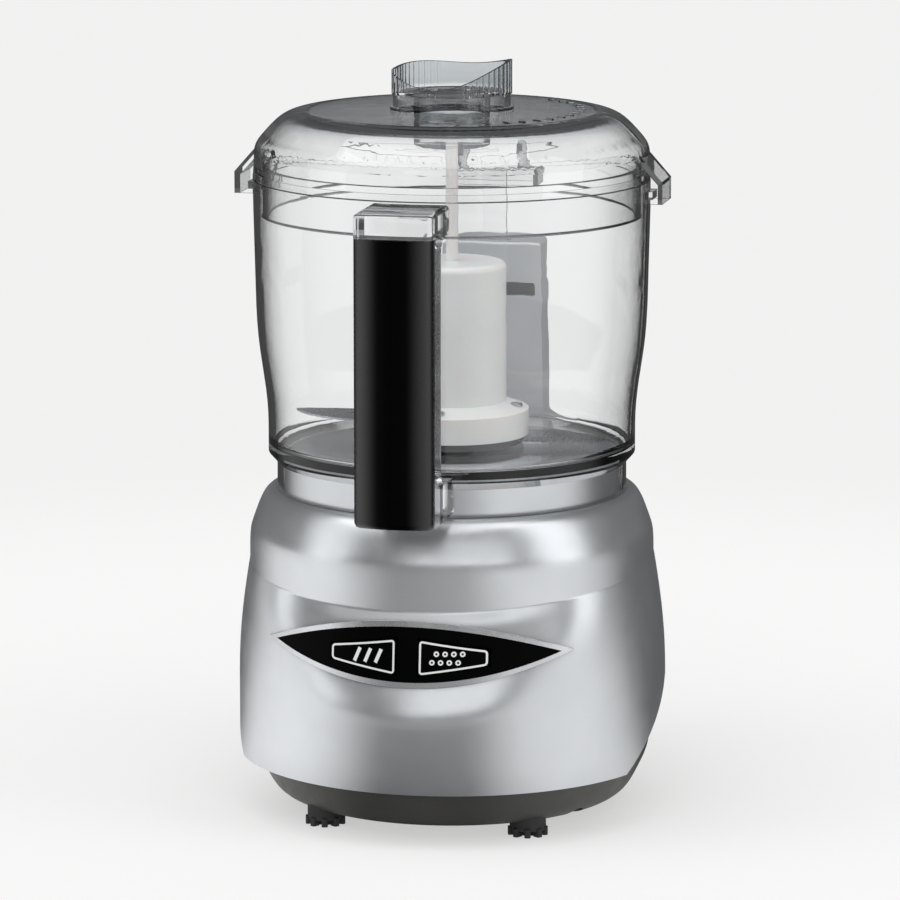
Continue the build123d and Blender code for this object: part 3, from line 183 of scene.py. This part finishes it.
def clear(name, dark, light, rough, ior, painted_shade=()):
    """Clear moulded plastic: a faint tint, flow marks in its gloss, and lamps shine through it.

    painted_shade lists (height in metres, how much light the plastic keeps there), from low to
    high: painted shade that darkens the plastic by height.
    """
    material = surface(
        name,
        dark,
        light,
        rough,
        FLOW_GRAIN,
        FLOW_DEPTH,
        blotch=18.0,
        IOR=ior,
        Transmission_Weight=1.0,
    )
    tree = material.node_tree
    shader = tree.nodes["Principled BSDF"]
    output = tree.nodes["Material Output"]
    # Painted shade: the plastic's colour is darkened by height.
    if painted_shade:
        bottom, top = painted_shade[0][0], painted_shade[-1][0]
        level = add_node(tree, "ShaderNodeMapRange", From_Min=bottom, From_Max=top)
        tree.links.new(place_axes(tree)[2], level.inputs["Value"])
        shade = add_node(tree, "ShaderNodeValToRGB")
        for i, (height, kept) in enumerate(painted_shade):
            place = (height - bottom) / (top - bottom)
            stop = shade.color_ramp.elements[i] if i < 2 else shade.color_ramp.elements.new(place)
            stop.position = place
            stop.color = (*(kept**power for power in PAINTED_SHADE_TINT), 1)
        tree.links.new(level.outputs["Result"], shade.inputs["Fac"])
        tinted = add_node(tree, "ShaderNodeMix", data_type="RGBA", blend_type="MULTIPLY")
        tinted.inputs["Factor"].default_value = 1.0
        base = shader.inputs["Base Color"]
        tree.links.new(base.links[0].from_socket, tinted.inputs[6])
        tree.links.new(shade.outputs["Color"], tinted.inputs[7])
        tree.links.new(tinted.outputs[2], base)
    path = add_node(tree, "ShaderNodeLightPath")
    through = add_node(tree, "ShaderNodeBsdfTransparent", Color=(*light, 1))
    mix = add_node(tree, "ShaderNodeMixShader")
    tree.links.new(path.outputs["Is Shadow Ray"], mix.inputs["Fac"])
    tree.links.new(shader.outputs["BSDF"], mix.inputs[1])
    tree.links.new(through.outputs["BSDF"], mix.inputs[2])
    tree.links.new(mix.outputs["Shader"], output.inputs["Surface"])
    return material


# ---- materials, one for each slot of the record -----------------------------------

MATERIALS = {
    "silver_paint": surface(
        "silver_paint",
        (0.715, 0.735, 0.758),
        (0.785, 0.805, 0.83),
        (0.28, 0.33),
        2600.0,
        0.00001,
        blotch=30.0,
        Metallic=0.9,
    ),
    "bright_silver": surface(
        "bright_silver",
        (0.70, 0.71, 0.73),
        (0.78, 0.79, 0.80),
        (0.24, 0.30),
        1800.0,
        0.000002,
        Metallic=1.0,
    ),
    "black_gloss": surface(
        "black_gloss",
        (0.0010, 0.0010, 0.0011),
        (0.0018, 0.0018, 0.0020),
        (0.26, 0.34),
        900.0,
        0.000004,
        Specular_IOR_Level=0.03,
    ),
    "black_plastic": surface(
        "black_plastic",
        (0.043, 0.043, 0.039),
        (0.056, 0.055, 0.050),
        (0.42, 0.52),
        3200.0,
        0.00003,
    ),
    "dark_plastic": surface(
        "dark_plastic", (0.08, 0.08, 0.082), (0.12, 0.12, 0.122), (0.40, 0.5), 2500.0, 0.00002
    ),
    "grip_black": surface(
        "grip_black",
        (0.0008, 0.0008, 0.0009),
        (0.0014, 0.0014, 0.0016),
        (0.24, 0.3),
        2800.0,
        0.00001,
        Specular_IOR_Level=0.07,
    ),
    "black_rubber": surface(
        "black_rubber",
        (0.022, 0.022, 0.023),
        (0.036, 0.036, 0.037),
        (0.6, 0.75),
        2200.0,
        0.00004,
    ),
    "clear_plastic": clear(
        "clear_plastic", (0.972, 0.975, 0.98), (0.986, 0.988, 0.99), (0.0, 0.02), 1.5
    ),
    "lid_clear": clear(
        "lid_clear",
        (0.978, 0.982, 0.984),
        (0.99, 0.992, 0.994),
        (0.0, 0.03),
        1.5,
        # painted shade on the dome's top and on the cup
        painted_shade=(
            (0.213, 1.0),
            (0.2172, 0.66),
            (0.2188, 0.56),
            (0.2196, 1.0),
            (0.225, 0.96),
            (0.2262, 0.62),
            (0.235, 0.68),
        ),
    ),
    "white_plastic": surface(
        "white_plastic",
        (0.72, 0.72, 0.71),
        (0.78, 0.78, 0.77),
        (0.36, 0.46),
        1500.0,
        0.00002,
        Subsurface_Weight=0.35,
        Subsurface_Scale=0.004,
    ),
    "nylon": surface(
        "nylon", (0.74, 0.71, 0.62), (0.82, 0.80, 0.72), (0.40, 0.5), 1800.0, 0.00002
    ),
    "blade_steel": surface(
        "blade_steel",
        (0.30, 0.32, 0.34),
        (0.42, 0.44, 0.46),
        (0.20, 0.34),
        260.0,
        0.000012,
        blotch=60.0,
        stretch=(14, 1, 1),
        Metallic=1.0,
    ),
    "polished_steel": surface(
        "polished_steel",
        (0.52, 0.52, 0.53),
        (0.62, 0.62, 0.63),
        (0.18, 0.28),
        220.0,
        0.000008,
        blotch=50.0,
        stretch=(1, 1, 12),
        Metallic=1.0,
    ),
    "zinc_steel": surface(
        "zinc_steel",
        (0.50, 0.51, 0.54),
        (0.66, 0.67, 0.70),
        (0.30, 0.45),
        1400.0,
        0.00001,
        blotch=300.0,
        Metallic=1.0,
    ),
    "laminated_steel": surface(
        "laminated_steel",
        (0.16, 0.16, 0.17),
        (0.30, 0.30, 0.31),
        (0.35, 0.5),
        90.0,
        0.00008,
        blotch=60.0,
        stretch=(1, 1, 22),
        Metallic=0.9,
    ),
    "enamelled_copper": surface(
        "enamelled_copper",
        (0.42, 0.16, 0.06),
        (0.66, 0.30, 0.13),
        (0.22, 0.34),
        700.0,
        0.0001,
        blotch=160.0,
        Metallic=0.9,
    ),
    "brass": surface(
        "brass", (0.62, 0.46, 0.20), (0.76, 0.60, 0.32), (0.22, 0.34), 900.0, 0.00001, Metallic=1.0
    ),
    "bronze": surface(
        "bronze",
        (0.42, 0.31, 0.17),
        (0.58, 0.45, 0.27),
        (0.40, 0.52),
        1600.0,
        0.00003,
        Metallic=1.0,
    ),
    "carbon": surface(
        "carbon", (0.02, 0.02, 0.02), (0.04, 0.04, 0.04), (0.5, 0.65), 1800.0, 0.00003
    ),
    "circuit_board": surface(
        "circuit_board",
        (0.02, 0.13, 0.05),
        (0.04, 0.21, 0.09),
        (0.24, 0.34),
        600.0,
        0.00003,
        blotch=180.0,
        Coat_Weight=0.4,
    ),
    "relay_case": surface(
        "relay_case", (0.03, 0.10, 0.30), (0.05, 0.15, 0.42), (0.26, 0.36), 1500.0, 0.00001
    ),
    "capacitor_case": surface(
        "capacitor_case", (0.52, 0.38, 0.07), (0.64, 0.50, 0.12), (0.28, 0.4), 1500.0, 0.00001
    ),
}

SILVER_PRINT = surface(
    "silver_print",
    (0.84, 0.85, 0.86),
    (0.92, 0.925, 0.93),
    (0.34, 0.44),
    3000.0,
    0.000006,
    Metallic=0.1,
)

# Painted light: a less metallic copy of the silver paint, so that the rear column behind the bowl
# reads brighter than the housing.
COLUMN_LIT_SILVER = surface(
    "column_lit_silver",
    (0.61, 0.63, 0.65),
    (0.69, 0.705, 0.725),
    (0.34, 0.4),
    2600.0,
    0.00001,
    blotch=30.0,
    Metallic=0.5,
)

# Heights and reaches of the relief round the front panel, in metres. A pair is where a
# smooth step starts and where it is full.
CREASE_MIDDLE = 0.0735
CREASE_RISE = 1.15  # how the crease climbs towards the sides, per metre of x squared
BROW_LOW = 0.049
BROW_RISE = 5.0
BROW_FLAT = 0.12  # how much of its sideways slant the brow keeps
FRONT_SIDE = (-0.012, -0.03)
CREASE_EDGE = (-0.0004, 0.0008)
BROW_EDGE = (-0.006, 0.012)
BROW_SIDES = (0.063, 0.022)
LIT_BAND = (0.006, 0.001)
LIT_SIDES = (0.05, 0.02)
LIT_LIFT = 0.2
DISH_FOOT = (-0.013, -0.004)
DISH_HEAD = (0.006, 0.001)
DISH_SIDES = (0.042, 0.02)
DISH_LIFT = 0.28


def dish_the_brow(material):
    """Shading of the shallow moulded relief round the front panel.

    Below the crease the brow faces forwards, its top edge catches the light, and under
    the panel the wall is dished so that it faces a little upwards.
    """
    tree = material.node_tree
    x, y, z = place_axes(tree)
    sideways = calc(tree, "ABSOLUTE", x)
    square = calc(tree, "MULTIPLY", x, x)
    crease = calc(tree, "MULTIPLY_ADD", square, CREASE_RISE, CREASE_MIDDLE)
    low = calc(tree, "MULTIPLY_ADD", square, BROW_RISE, BROW_LOW)
    below_crease = calc(tree, "SUBTRACT", crease, z)
    above_low = calc(tree, "SUBTRACT", z, low)
    front = fade(tree, y, *FRONT_SIDE)
    brow = product(
        tree,
        front,
        fade(tree, below_crease, *CREASE_EDGE),
        fade(tree, above_low, *BROW_EDGE),
        fade(tree, sideways, *BROW_SIDES),
    )
    lit_edge = product(
        tree, brow, fade(tree, below_crease, *LIT_BAND), fade(tree, sideways, *LIT_SIDES)
    )
    dish = product(
        tree,
        front,
        fade(tree, above_low, *DISH_FOOT),
        fade(tree, above_low, *DISH_HEAD),
        fade(tree, sideways, *DISH_SIDES),
    )
    lift = calc(tree, "MULTIPLY_ADD", lit_edge, LIT_LIFT, product(tree, dish, DISH_LIFT))
    keep = calc(tree, "MULTIPLY_ADD", brow, BROW_FLAT - 1, 1.0)
    facing = add_node(tree, "ShaderNodeNewGeometry")
    slant = add_node(tree, "ShaderNodeSeparateXYZ")
    tree.links.new(facing.outputs["Normal"], slant.inputs[0])
    turned = add_node(tree, "ShaderNodeCombineXYZ")
    tree.links.new(product(tree, slant.outputs["X"], keep), turned.inputs["X"])
    tree.links.new(slant.outputs["Y"], turned.inputs["Y"])
    tree.links.new(calc(tree, "ADD", slant.outputs["Z"], lift), turned.inputs["Z"])
    set_normal(tree, turned.outputs[0])


GRIP_SHEEN = (0.00375, 0.0125)  # metres from the grip's middle where its sheen starts and is full
GRIP_LEAN = 55.0  # how fast the grip's face turns sideways, per metre from its middle
GRIP_DULL = 0.03
GRIP_GLOSSY = 0.75


def crown_the_grip(material):
    """Shading of the grip's rounded face: dark in the middle, with a soft sheen down each side."""
    tree = material.node_tree
    x, _, _ = place_axes(tree)
    facing = add_node(tree, "ShaderNodeNewGeometry")
    lean = add_node(tree, "ShaderNodeCombineXYZ")
    tree.links.new(product(tree, x, GRIP_LEAN), lean.inputs["X"])
    turned = add_node(tree, "ShaderNodeVectorMath", operation="ADD")
    tree.links.new(facing.outputs["Normal"], turned.inputs[0])
    tree.links.new(lean.outputs[0], turned.inputs[1])
    set_normal(tree, turned.outputs["Vector"])
    edge = fade(tree, calc(tree, "ABSOLUTE", x), *GRIP_SHEEN)
    gloss = calc(tree, "MULTIPLY_ADD", edge, GRIP_GLOSSY - GRIP_DULL, GRIP_DULL)
    tree.links.new(gloss, tree.nodes["Principled BSDF"].inputs["Specular IOR Level"])


GAP_REACH = 0.026
GAP_SHADE = 0.75
SHOULDER_TOP = (0.1025, 0.1005)  # above this is the bright collar, below it the shoulder


def shade_the_gaps(material):
    """Painted shade: the paint is darkened where the shoulder lies close under the handle and the
    bowl's skirt.
    """
    tree = material.node_tree
    base = tree.nodes["Principled BSDF"].inputs["Base Color"]
    gap = add_node(tree, "ShaderNodeAmbientOcclusion", samples=8, Distance=GAP_REACH)
    shoulder = fade(tree, place_axes(tree)[2], *SHOULDER_TOP)
    closed = calc(tree, "SUBTRACT", gap.outputs["AO"], 1.0)
    kept = calc(tree, "MULTIPLY_ADD", closed, product(tree, shoulder, GAP_SHADE), 1.0)
    shaded = add_node(tree, "ShaderNodeVectorMath", operation="SCALE")
    tree.links.new(base.links[0].from_socket, shaded.inputs[0])
    tree.links.new(kept, shaded.inputs["Scale"])
    tree.links.new(shaded.outputs["Vector"], base)


dish_the_brow(MATERIALS["silver_paint"])
crown_the_grip(MATERIALS["grip_black"])
shade_the_gaps(MATERIALS["silver_paint"])

for name, cad in frame["nodes"].items():
    cad.data.materials.clear()
    cad.data.materials.append(COLUMN_LIT_SILVER if name == "rear_column" else MATERIALS[slot_of[name]])


# ---- pieces laid on the CAD surfaces ----------------------------------------------------


def face_finder(node, towards):
    """A function that gives where a ray along a direction first meets a CAD node.

    It also gives how the node faces there.
    """
    mesh = frame["nodes"][node].data
    tree = BVHTree.FromPolygons(
        [v.co.copy() for v in mesh.vertices], [p.vertices[:] for p in mesh.polygons]
    )
    direction = Vector(towards)

    def find(start):
        spot, normal, _, _ = tree.ray_cast(Vector(start), direction)
        return spot, normal

    return find


def make_piece(name, verts, faces, slot, body, material=None):
    """A visual piece that rides on a body, in its slot's material unless another is given."""
    mesh = bpy.data.meshes.new(name)
    mesh.from_pydata(verts, [], faces)
    mesh.validate()
    piece = bpy.data.objects.new(name, mesh)
    scene.collection.objects.link(piece)
    bm = bmesh.new()
    bm.from_mesh(mesh)
    bmesh.ops.recalc_face_normals(bm, faces=bm.faces)
    bm.to_mesh(mesh)
    bm.free()
    piece.data.materials.append(material or MATERIALS[slot])
    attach(piece, body)
    return piece


CORNER_STEPS = 6


def dense_loop(corners, step, rounding):
    """Points evenly along a closed polygon with rounded corners, in its own plane."""
    loop = []
    count = len(corners)
    for i in range(count):
        before, corner, after = (Vector(corners[(i + k) % count]) for k in (-1, 0, 1))
        leave = corner + (before - corner).normalized() * rounding
        join = corner + (after - corner).normalized() * rounding
        for k in range(CORNER_STEPS + 1):
            t = k / CORNER_STEPS
            loop.append(leave * (1 - t) ** 2 + corner * 2 * t * (1 - t) + join * t**2)
        far = Vector(corners[(i + 1) % count])
        end = far + (corner - far).normalized() * rounding
        runs = max(2, int((end - join).length / step))
        loop.extend(join.lerp(end, k / runs) for k in range(1, runs))
    return loop


def strip_along(loop, width, closed=True):
    """Inner and outer edge points of a line of a given width along a path, in its own plane."""
    sides = []
    count = len(loop)
    for i, spot in enumerate(loop):
        before = loop[i - 1] if closed or i else spot
        after = loop[(i + 1) % count] if closed or i < count - 1 else spot
        along = (after - before).normalized()
        across = Vector((-along.y, along.x)) * width / 2
        sides.append((spot - across, spot + across))
    return sides


def print_strip(name, node, body, paths, width, closed=True):
    """Raised printed lines on the front of a CAD node, along paths given in its x and z."""
    find = face_finder(node, (0, 1, 0))
    front_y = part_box(node)[0].y - 0.01
    verts, faces = [], []
    for path in paths:
        sides = strip_along(path, width, closed)
        first = len(verts)
        for pair in sides:
            for x, z in pair:
                spot, _ = find((x, front_y, z))
                if spot is None:
                    raise ValueError(f"{name} leaves the face of {node} at {x:.4f}, {z:.4f}")
                verts.append(spot - Vector((0, PRINT_RISE, 0)))
                verts.append(spot + Vector((0, PRINT_RISE, 0)))
        count = len(sides)
        for i in range(count if closed else count - 1):
            a = first + 4 * i
            b = first + 4 * ((i + 1) % count)
            faces.append((a, b, b + 2, a + 2))
            faces.append((a + 1, a + 3, b + 3, b + 1))
            faces.append((a, a + 1, b + 1, b))
            faces.append((a + 2, b + 2, b + 3, a + 3))
        if not closed:
            for a in (first, first + 4 * (count - 1)):
                faces.append((a, a + 2, a + 3, a + 1))
    return make_piece(name, verts, faces, "bright_silver", body, SILVER_PRINT)


# Printed lines on the keys, in metres.
PRINT_WIDTH = 0.0006
PRINT_RISE = 0.00005
FLANGE = 0.0011
OUTLINE_INSET = 0.0007
OUTLINE_ROUND = 0.0009
SHORT_SIDE = 0.43  # the key's far side against its near side
MARK_PLACE = 0.42  # where a mark sits between the key's two ends
STROKE_WIDTH = 0.0011
STROKE_PITCH = 0.0034
STROKE_LEAN = 0.0009
STROKE_HALF = 0.0021
STROKE_STEPS = 6
RING_WIDTH = 0.0005
RING_PITCH = 0.0026
RING_R = 0.0006
RING_SIDES = 12


def button_face(node):
    """The near end, far end, middle height and half height of a button cap, inside its flange."""
    low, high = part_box(node)
    near, far = sorted((low.x, high.x), key=abs)
    side = 1 if far > 0 else -1
    middle = (low.z + high.z) / 2
    return near + side * FLANGE, far - side * FLANGE, middle, (high.z - low.z) / 2 - FLANGE


def button_outline(node):
    """The printed line just inside a key's tapered edge."""
    near, far, middle, tall = button_face(node)
    side = 1 if far > 0 else -1
    near += side * OUTLINE_INSET
    far -= side * OUTLINE_INSET
    tall -= OUTLINE_INSET
    short = (tall + OUTLINE_INSET) * SHORT_SIDE - OUTLINE_INSET * 0.6
    corners = [(near, -tall), (far, -short), (far, short), (near, tall)]
    return dense_loop([(x, middle + z) for x, z in corners], 0.0008, OUTLINE_ROUND)


def mark_place(node):
    """Where the middle of a key's mark lies."""
    near, far, middle, _ = button_face(node)
    return Vector((near + (far - near) * MARK_PLACE, middle))


def chop_mark():
    """Three short slanted strokes: coarse cutting."""
    centre = mark_place("chop_button")
    half = Vector((STROKE_LEAN, STROKE_HALF))
    strokes = []
    for k in (-1, 0, 1):
        spot = centre + Vector((k * STROKE_PITCH, 0))
        ends = spot - half, spot + half
        strokes.append([ends[0].lerp(ends[1], t / STROKE_STEPS) for t in range(STROKE_STEPS + 1)])
    return strokes


def grind_mark():
    """Two rows of small rings: fine grinding."""
    centre = mark_place("grind_button")
    turns = [2 * pi * k / RING_SIDES for k in range(RING_SIDES)]
    rings = []
    for column in (-1.5, -0.5, 0.5, 1.5):
        for row in (-0.5, 0.5):
            spot = centre + Vector((column + row / 2, row)) * RING_PITCH
            rings.append([spot + Vector((cos(a), sin(a))) * RING_R for a in turns])
    return rings


for node, body in (("chop_button", "chop_key"), ("grind_button", "grind_key")):
    print_strip(f"{node}_outline", node, body, [button_outline(node)], PRINT_WIDTH)
print_strip("chop_mark", "chop_button", "chop_key", chop_mark(), STROKE_WIDTH, closed=False)
print_strip("grind_mark", "grind_button", "grind_key", grind_mark(), RING_WIDTH)

# The lid's ticks, in metres and degrees.
TICKS = 15
TICK_FROM = -62
TICK_STEP = 8
TICK_MIDDLE = 0.04
TICK_LONG = 0.0015
TICK_HALF = 0.0006
TICK_LEVELS = ((-0.0001, 1.0), (0.0004, 0.7))  # height over the lid, and the bar's size there


def lid_ticks():
    """A ring sector of small raised bars on the lid's top, where it turns down to the rim."""
    find = face_finder("lid", (0, 0, -1))
    top = Vector((0, 0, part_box("lid")[1].z + 0.01))
    verts, faces = [], []
    for k in range(TICKS):
        angle = radians(TICK_FROM + TICK_STEP * k)
        out = Vector((cos(angle), sin(angle), 0))
        side = Vector((-sin(angle), cos(angle), 0))
        base = len(verts)
        for lift, size in TICK_LEVELS:
            for r, t in ((-1, -1), (1, -1), (1, 1), (-1, 1)):
                reach = out * (TICK_MIDDLE + r * TICK_LONG * size)
                spot, _ = find(reach + side * t * TICK_HALF * size + top)
                verts.append(spot + Vector((0, 0, lift)))
        faces.append([base + i for i in (3, 2, 1, 0)])
        faces.append([base + i for i in (4, 5, 6, 7)])
        for i in range(4):
            j = (i + 1) % 4
            faces.append([base + i, base + j, base + 4 + j, base + 4 + i])
    return make_piece("lid_ticks", verts, faces, "lid_clear", "lid_unit")


BEAD_Z = 0.1873
BEAD_WIDE = 0.00105
BEAD_TALL = 0.00045
BEAD_OUT = 0.0008  # the bead's middle is this far outside the skirt's inner face
BEAD_PROBE = 0.0015  # the skirt is measured this far above the bead
BEAD_STEPS = 180
BEAD_SIDES = 12
# Painted shade: the bead's clear plastic is tinted dark grey so that it shows as a dark line.
BEAD_PAINTED_DARK = clear("bead_painted_dark", (0.34, 0.36, 0.38), (0.42, 0.44, 0.46), (0.05, 0.1), 1.5)


def skirt_bead():
    """The rounded bead round the lower edge of the lid's inner skirt, its plastic tinted dark grey
    as a painted shade line along that edge.
    """
    find = face_finder("lid", (1, 0, 0))
    inner, _ = find((0, 0, BEAD_Z + BEAD_PROBE))
    verts, faces = [], []
    for k in range(BEAD_STEPS):
        a = 2 * pi * k / BEAD_STEPS
        here = k * BEAD_SIDES
        there = (k + 1) % BEAD_STEPS * BEAD_SIDES
        for j in range(BEAD_SIDES):
            b = 2 * pi * j / BEAD_SIDES
            r = inner.x + BEAD_OUT + BEAD_WIDE * cos(b)
            verts.append((r * cos(a), r * sin(a), BEAD_Z + BEAD_TALL * sin(b)))
            n = (j + 1) % BEAD_SIDES
            faces.append((here + j, there + j, there + n, here + n))
    bead = make_piece("skirt_bead", verts, faces, "lid_clear", "lid_unit", BEAD_PAINTED_DARK)
    for face in bead.data.polygons:
        face.use_smooth = True


lid_ticks()
skirt_bead()


# ---- studio ------------------------------------------------------------------------------

CAMERA_AT = Vector((0.327, -1.539, 0.404))
AIM = Vector((-0.0006, 0, 0.112))
towards_camera = Vector((CAMERA_AT.x, CAMERA_AT.y, 0)).normalized()
to_the_right = Vector((-towards_camera.y, towards_camera.x, 0))

BACKDROP = 0.885
BACKDROP_TINT = (1.0, 1.0, 0.996, 1)
ROOM_DIM = 0.12
FLOOR_MATT = 0.55
FLOOR_GLOW = 1.18
FLOOR_FADE = (0.12, 0.6)  # metres from the drive axis where the contact shadow fades out
FLOOR_DIM = 0.06
# Each card: its turn from the camera's side, how wide it fades out, its brightness, and the
# distances from the object where it starts and is full.
FLOOR_CARDS = (
    (-84, 56, 0.92, 0.02, 0.08),
    (57, 52, 0.8, 0.02, 0.08),
    (0, 50, 0.34, 0.1, 0.4),
)


def away_from_middle(tree, near, far, value_near, value_far):
    """A value that changes smoothly with distance from the object, between two distances."""
    coords = add_node(tree, "ShaderNodeTexCoord")
    distance = add_node(tree, "ShaderNodeVectorMath", operation="LENGTH")
    tree.links.new(coords.outputs["Object"], distance.inputs[0])
    made = add_node(
        tree,
        "ShaderNodeMapRange",
        interpolation_type="SMOOTHSTEP",
        From_Min=near,
        From_Max=far,
        To_Min=value_near,
        To_Max=value_far,
    )
    tree.links.new(distance.outputs["Value"], made.inputs["Value"])
    return made.outputs["Result"]


def mirrored_cards(tree):
    """How bright the floor is in reflections: lit towards each softbox, and dim elsewhere."""
    coords = add_node(tree, "ShaderNodeTexCoord")
    flat = add_node(tree, "ShaderNodeVectorMath", operation="NORMALIZE")
    tree.links.new(coords.outputs["Object"], flat.inputs[0])
    total = FLOOR_DIM
    for turn, width, level, near, far in FLOOR_CARDS:
        angle = radians(turn)
        facing = add_node(tree, "ShaderNodeVectorMath", operation="DOT_PRODUCT")
        facing.inputs[1].default_value = towards_camera * cos(angle) + to_the_right * sin(angle)
        tree.links.new(flat.outputs["Vector"], facing.inputs[0])
        card = fade(tree, facing.outputs["Value"], cos(radians(width)), 1.0)
        begun = away_from_middle(tree, near, far, 0.0, 1.0)
        total = calc(tree, "ADD", total, product(tree, card, level, begun))
    return total


FLOOR_RINGS = (0.15, 0.4, 1.0, 3.0, 12.0)
FLOOR_SIDES = 64


def floor_disc():
    """A round floor of rings about the object."""
    turns = [2 * pi * k / FLOOR_SIDES for k in range(FLOOR_SIDES)]
    verts = [(0, 0, 0)]
    for r in FLOOR_RINGS:
        verts.extend((r * cos(a), r * sin(a), 0) for a in turns)
    after = [(k + 1) % FLOOR_SIDES for k in range(FLOOR_SIDES)]
    faces = [(0, 1 + k, 1 + n) for k, n in enumerate(after)]
    for ring in range(len(FLOOR_RINGS) - 1):
        a = 1 + ring * FLOOR_SIDES
        b = a + FLOOR_SIDES
        faces.extend((a + k, b + k, b + n, a + n) for k, n in enumerate(after))
    mesh = bpy.data.meshes.new("studio_floor")
    mesh.from_pydata(verts, [], faces)
    return mesh


def mixed(tree, factor, first, second):
    """A number between two, by a factor."""
    made = add_node(tree, "ShaderNodeMix", data_type="FLOAT")
    for socket, value in (("Factor", factor), ("A", first), ("B", second)):
        if isinstance(value, (int, float)):
            made.inputs[socket].default_value = value
        else:
            tree.links.new(value, made.inputs[socket])
    return made.outputs["Result"]


def backdrop_floor():
    """A wide pale floor that the object stands on, lit evenly with a soft contact shadow.

    Seen straight or through clear plastic it glows like the backdrop. After a mirror bounce
    it shows only its cards, so that the object's flanks and edges stay dark.
    """
    floor = bpy.data.objects.new("studio_floor", floor_disc())
    scene.collection.objects.link(floor)
    material = bpy.data.materials.new("studio_floor")
    material.use_nodes = True
    tree = material.node_tree
    tree.nodes.remove(tree.nodes["Principled BSDF"])
    path = add_node(tree, "ShaderNodeLightPath")
    mirrored = calc(tree, "GREATER_THAN", path.outputs["Glossy Depth"], 0.5)
    lit = away_from_middle(tree, *FLOOR_FADE, FLOOR_GLOW, BACKDROP)
    glow = add_node(tree, "ShaderNodeEmission", Color=BACKDROP_TINT)
    tree.links.new(mixed(tree, mirrored, lit, mirrored_cards(tree)), glow.inputs["Strength"])
    matt = add_node(tree, "ShaderNodeBsdfDiffuse", Color=(0.9, 0.9, 0.9, 1))
    shadowed = away_from_middle(tree, *FLOOR_FADE, FLOOR_MATT, 0.0)
    mix = add_node(tree, "ShaderNodeMixShader")
    tree.links.new(mixed(tree, mirrored, shadowed, 0.0), mix.inputs["Fac"])
    tree.links.new(glow.outputs[0], mix.inputs[1])
    tree.links.new(matt.outputs[0], mix.inputs[2])
    tree.links.new(mix.outputs[0], tree.nodes["Material Output"].inputs["Surface"])
    material.cycles.emission_sampling = "NONE"
    floor.data.materials.append(material)


def room():
    """A bright backdrop for rays that have not bounced, and a dim room for all others."""
    world = bpy.data.worlds.new("studio")
    scene.world = world
    world.use_nodes = True
    tree = world.node_tree
    tree.nodes.clear()
    path = add_node(tree, "ShaderNodeLightPath")
    bounces = calc(tree, "ADD", path.outputs["Glossy Depth"], path.outputs["Diffuse Depth"])
    straight = calc(tree, "LESS_THAN", bounces, 0.5)
    seen = add_node(tree, "ShaderNodeBackground", Color=BACKDROP_TINT, Strength=BACKDROP)
    lit = add_node(tree, "ShaderNodeBackground", Color=(0.98, 0.99, 1.0, 1), Strength=ROOM_DIM)
    mix = add_node(tree, "ShaderNodeMixShader")
    output = add_node(tree, "ShaderNodeOutputWorld")
    tree.links.new(straight, mix.inputs["Fac"])
    tree.links.new(lit.outputs[0], mix.inputs[1])
    tree.links.new(seen.outputs[0], mix.inputs[2])
    tree.links.new(mix.outputs[0], output.inputs["Surface"])


def softbox(name, turn, distance, height, width, tall, power):
    """A soft lamp turned from the camera's side about the object, aimed at its middle."""
    lamp = bpy.data.lights.new(name, "AREA")
    lamp.shape = "RECTANGLE"
    lamp.size = width
    lamp.size_y = tall
    lamp.energy = power
    holder = bpy.data.objects.new(name, lamp)
    scene.collection.objects.link(holder)
    angle = radians(turn)
    spot = (towards_camera * cos(angle) + to_the_right * sin(angle)) * distance
    holder.location = spot + Vector((0, 0, height))
    aim = (Vector(cad_box[0]) + Vector(cad_box[1])) / 2 - holder.location
    holder.rotation_euler = aim.to_track_quat("-Z", "Y").to_euler()
    holder.visible_camera = False
    holder.visible_transmission = False


def overhead_light():
    """A broad soft light from above."""
    lamp = bpy.data.lights.new("overhead", "SUN")
    lamp.energy = 1.5
    lamp.angle = radians(75)
    holder = bpy.data.objects.new("overhead", lamp)
    scene.collection.objects.link(holder)
    holder.rotation_euler = (radians(14), radians(-6), 0)


room()
backdrop_floor()
softbox("left_softbox", turn=-76, distance=1.3, height=0.8, width=0.8, tall=1.6, power=4.2)
softbox("right_softbox", turn=66, distance=1.3, height=0.8, width=0.8, tall=1.6, power=5.6)
softbox("front_softbox", turn=4, distance=2.0, height=0.85, width=2.4, tall=0.7, power=6.0)
overhead_light()

camera_data = bpy.data.cameras.new("camera")
camera_data.lens = 204.8
camera_data.sensor_width = 36
camera_data.clip_end = 60
camera = bpy.data.objects.new("camera", camera_data)
scene.collection.objects.link(camera)
camera.location = CAMERA_AT
camera.rotation_euler = (AIM - CAMERA_AT).to_track_quat("-Z", "Y").to_euler()
scene.camera = camera

scene.view_settings.view_transform = "Standard"
scene.cycles.max_bounces = 24
scene.cycles.transmission_bounces = 24
scene.cycles.transparent_max_bounces = 24
scene.cycles.caustics_reflective = False
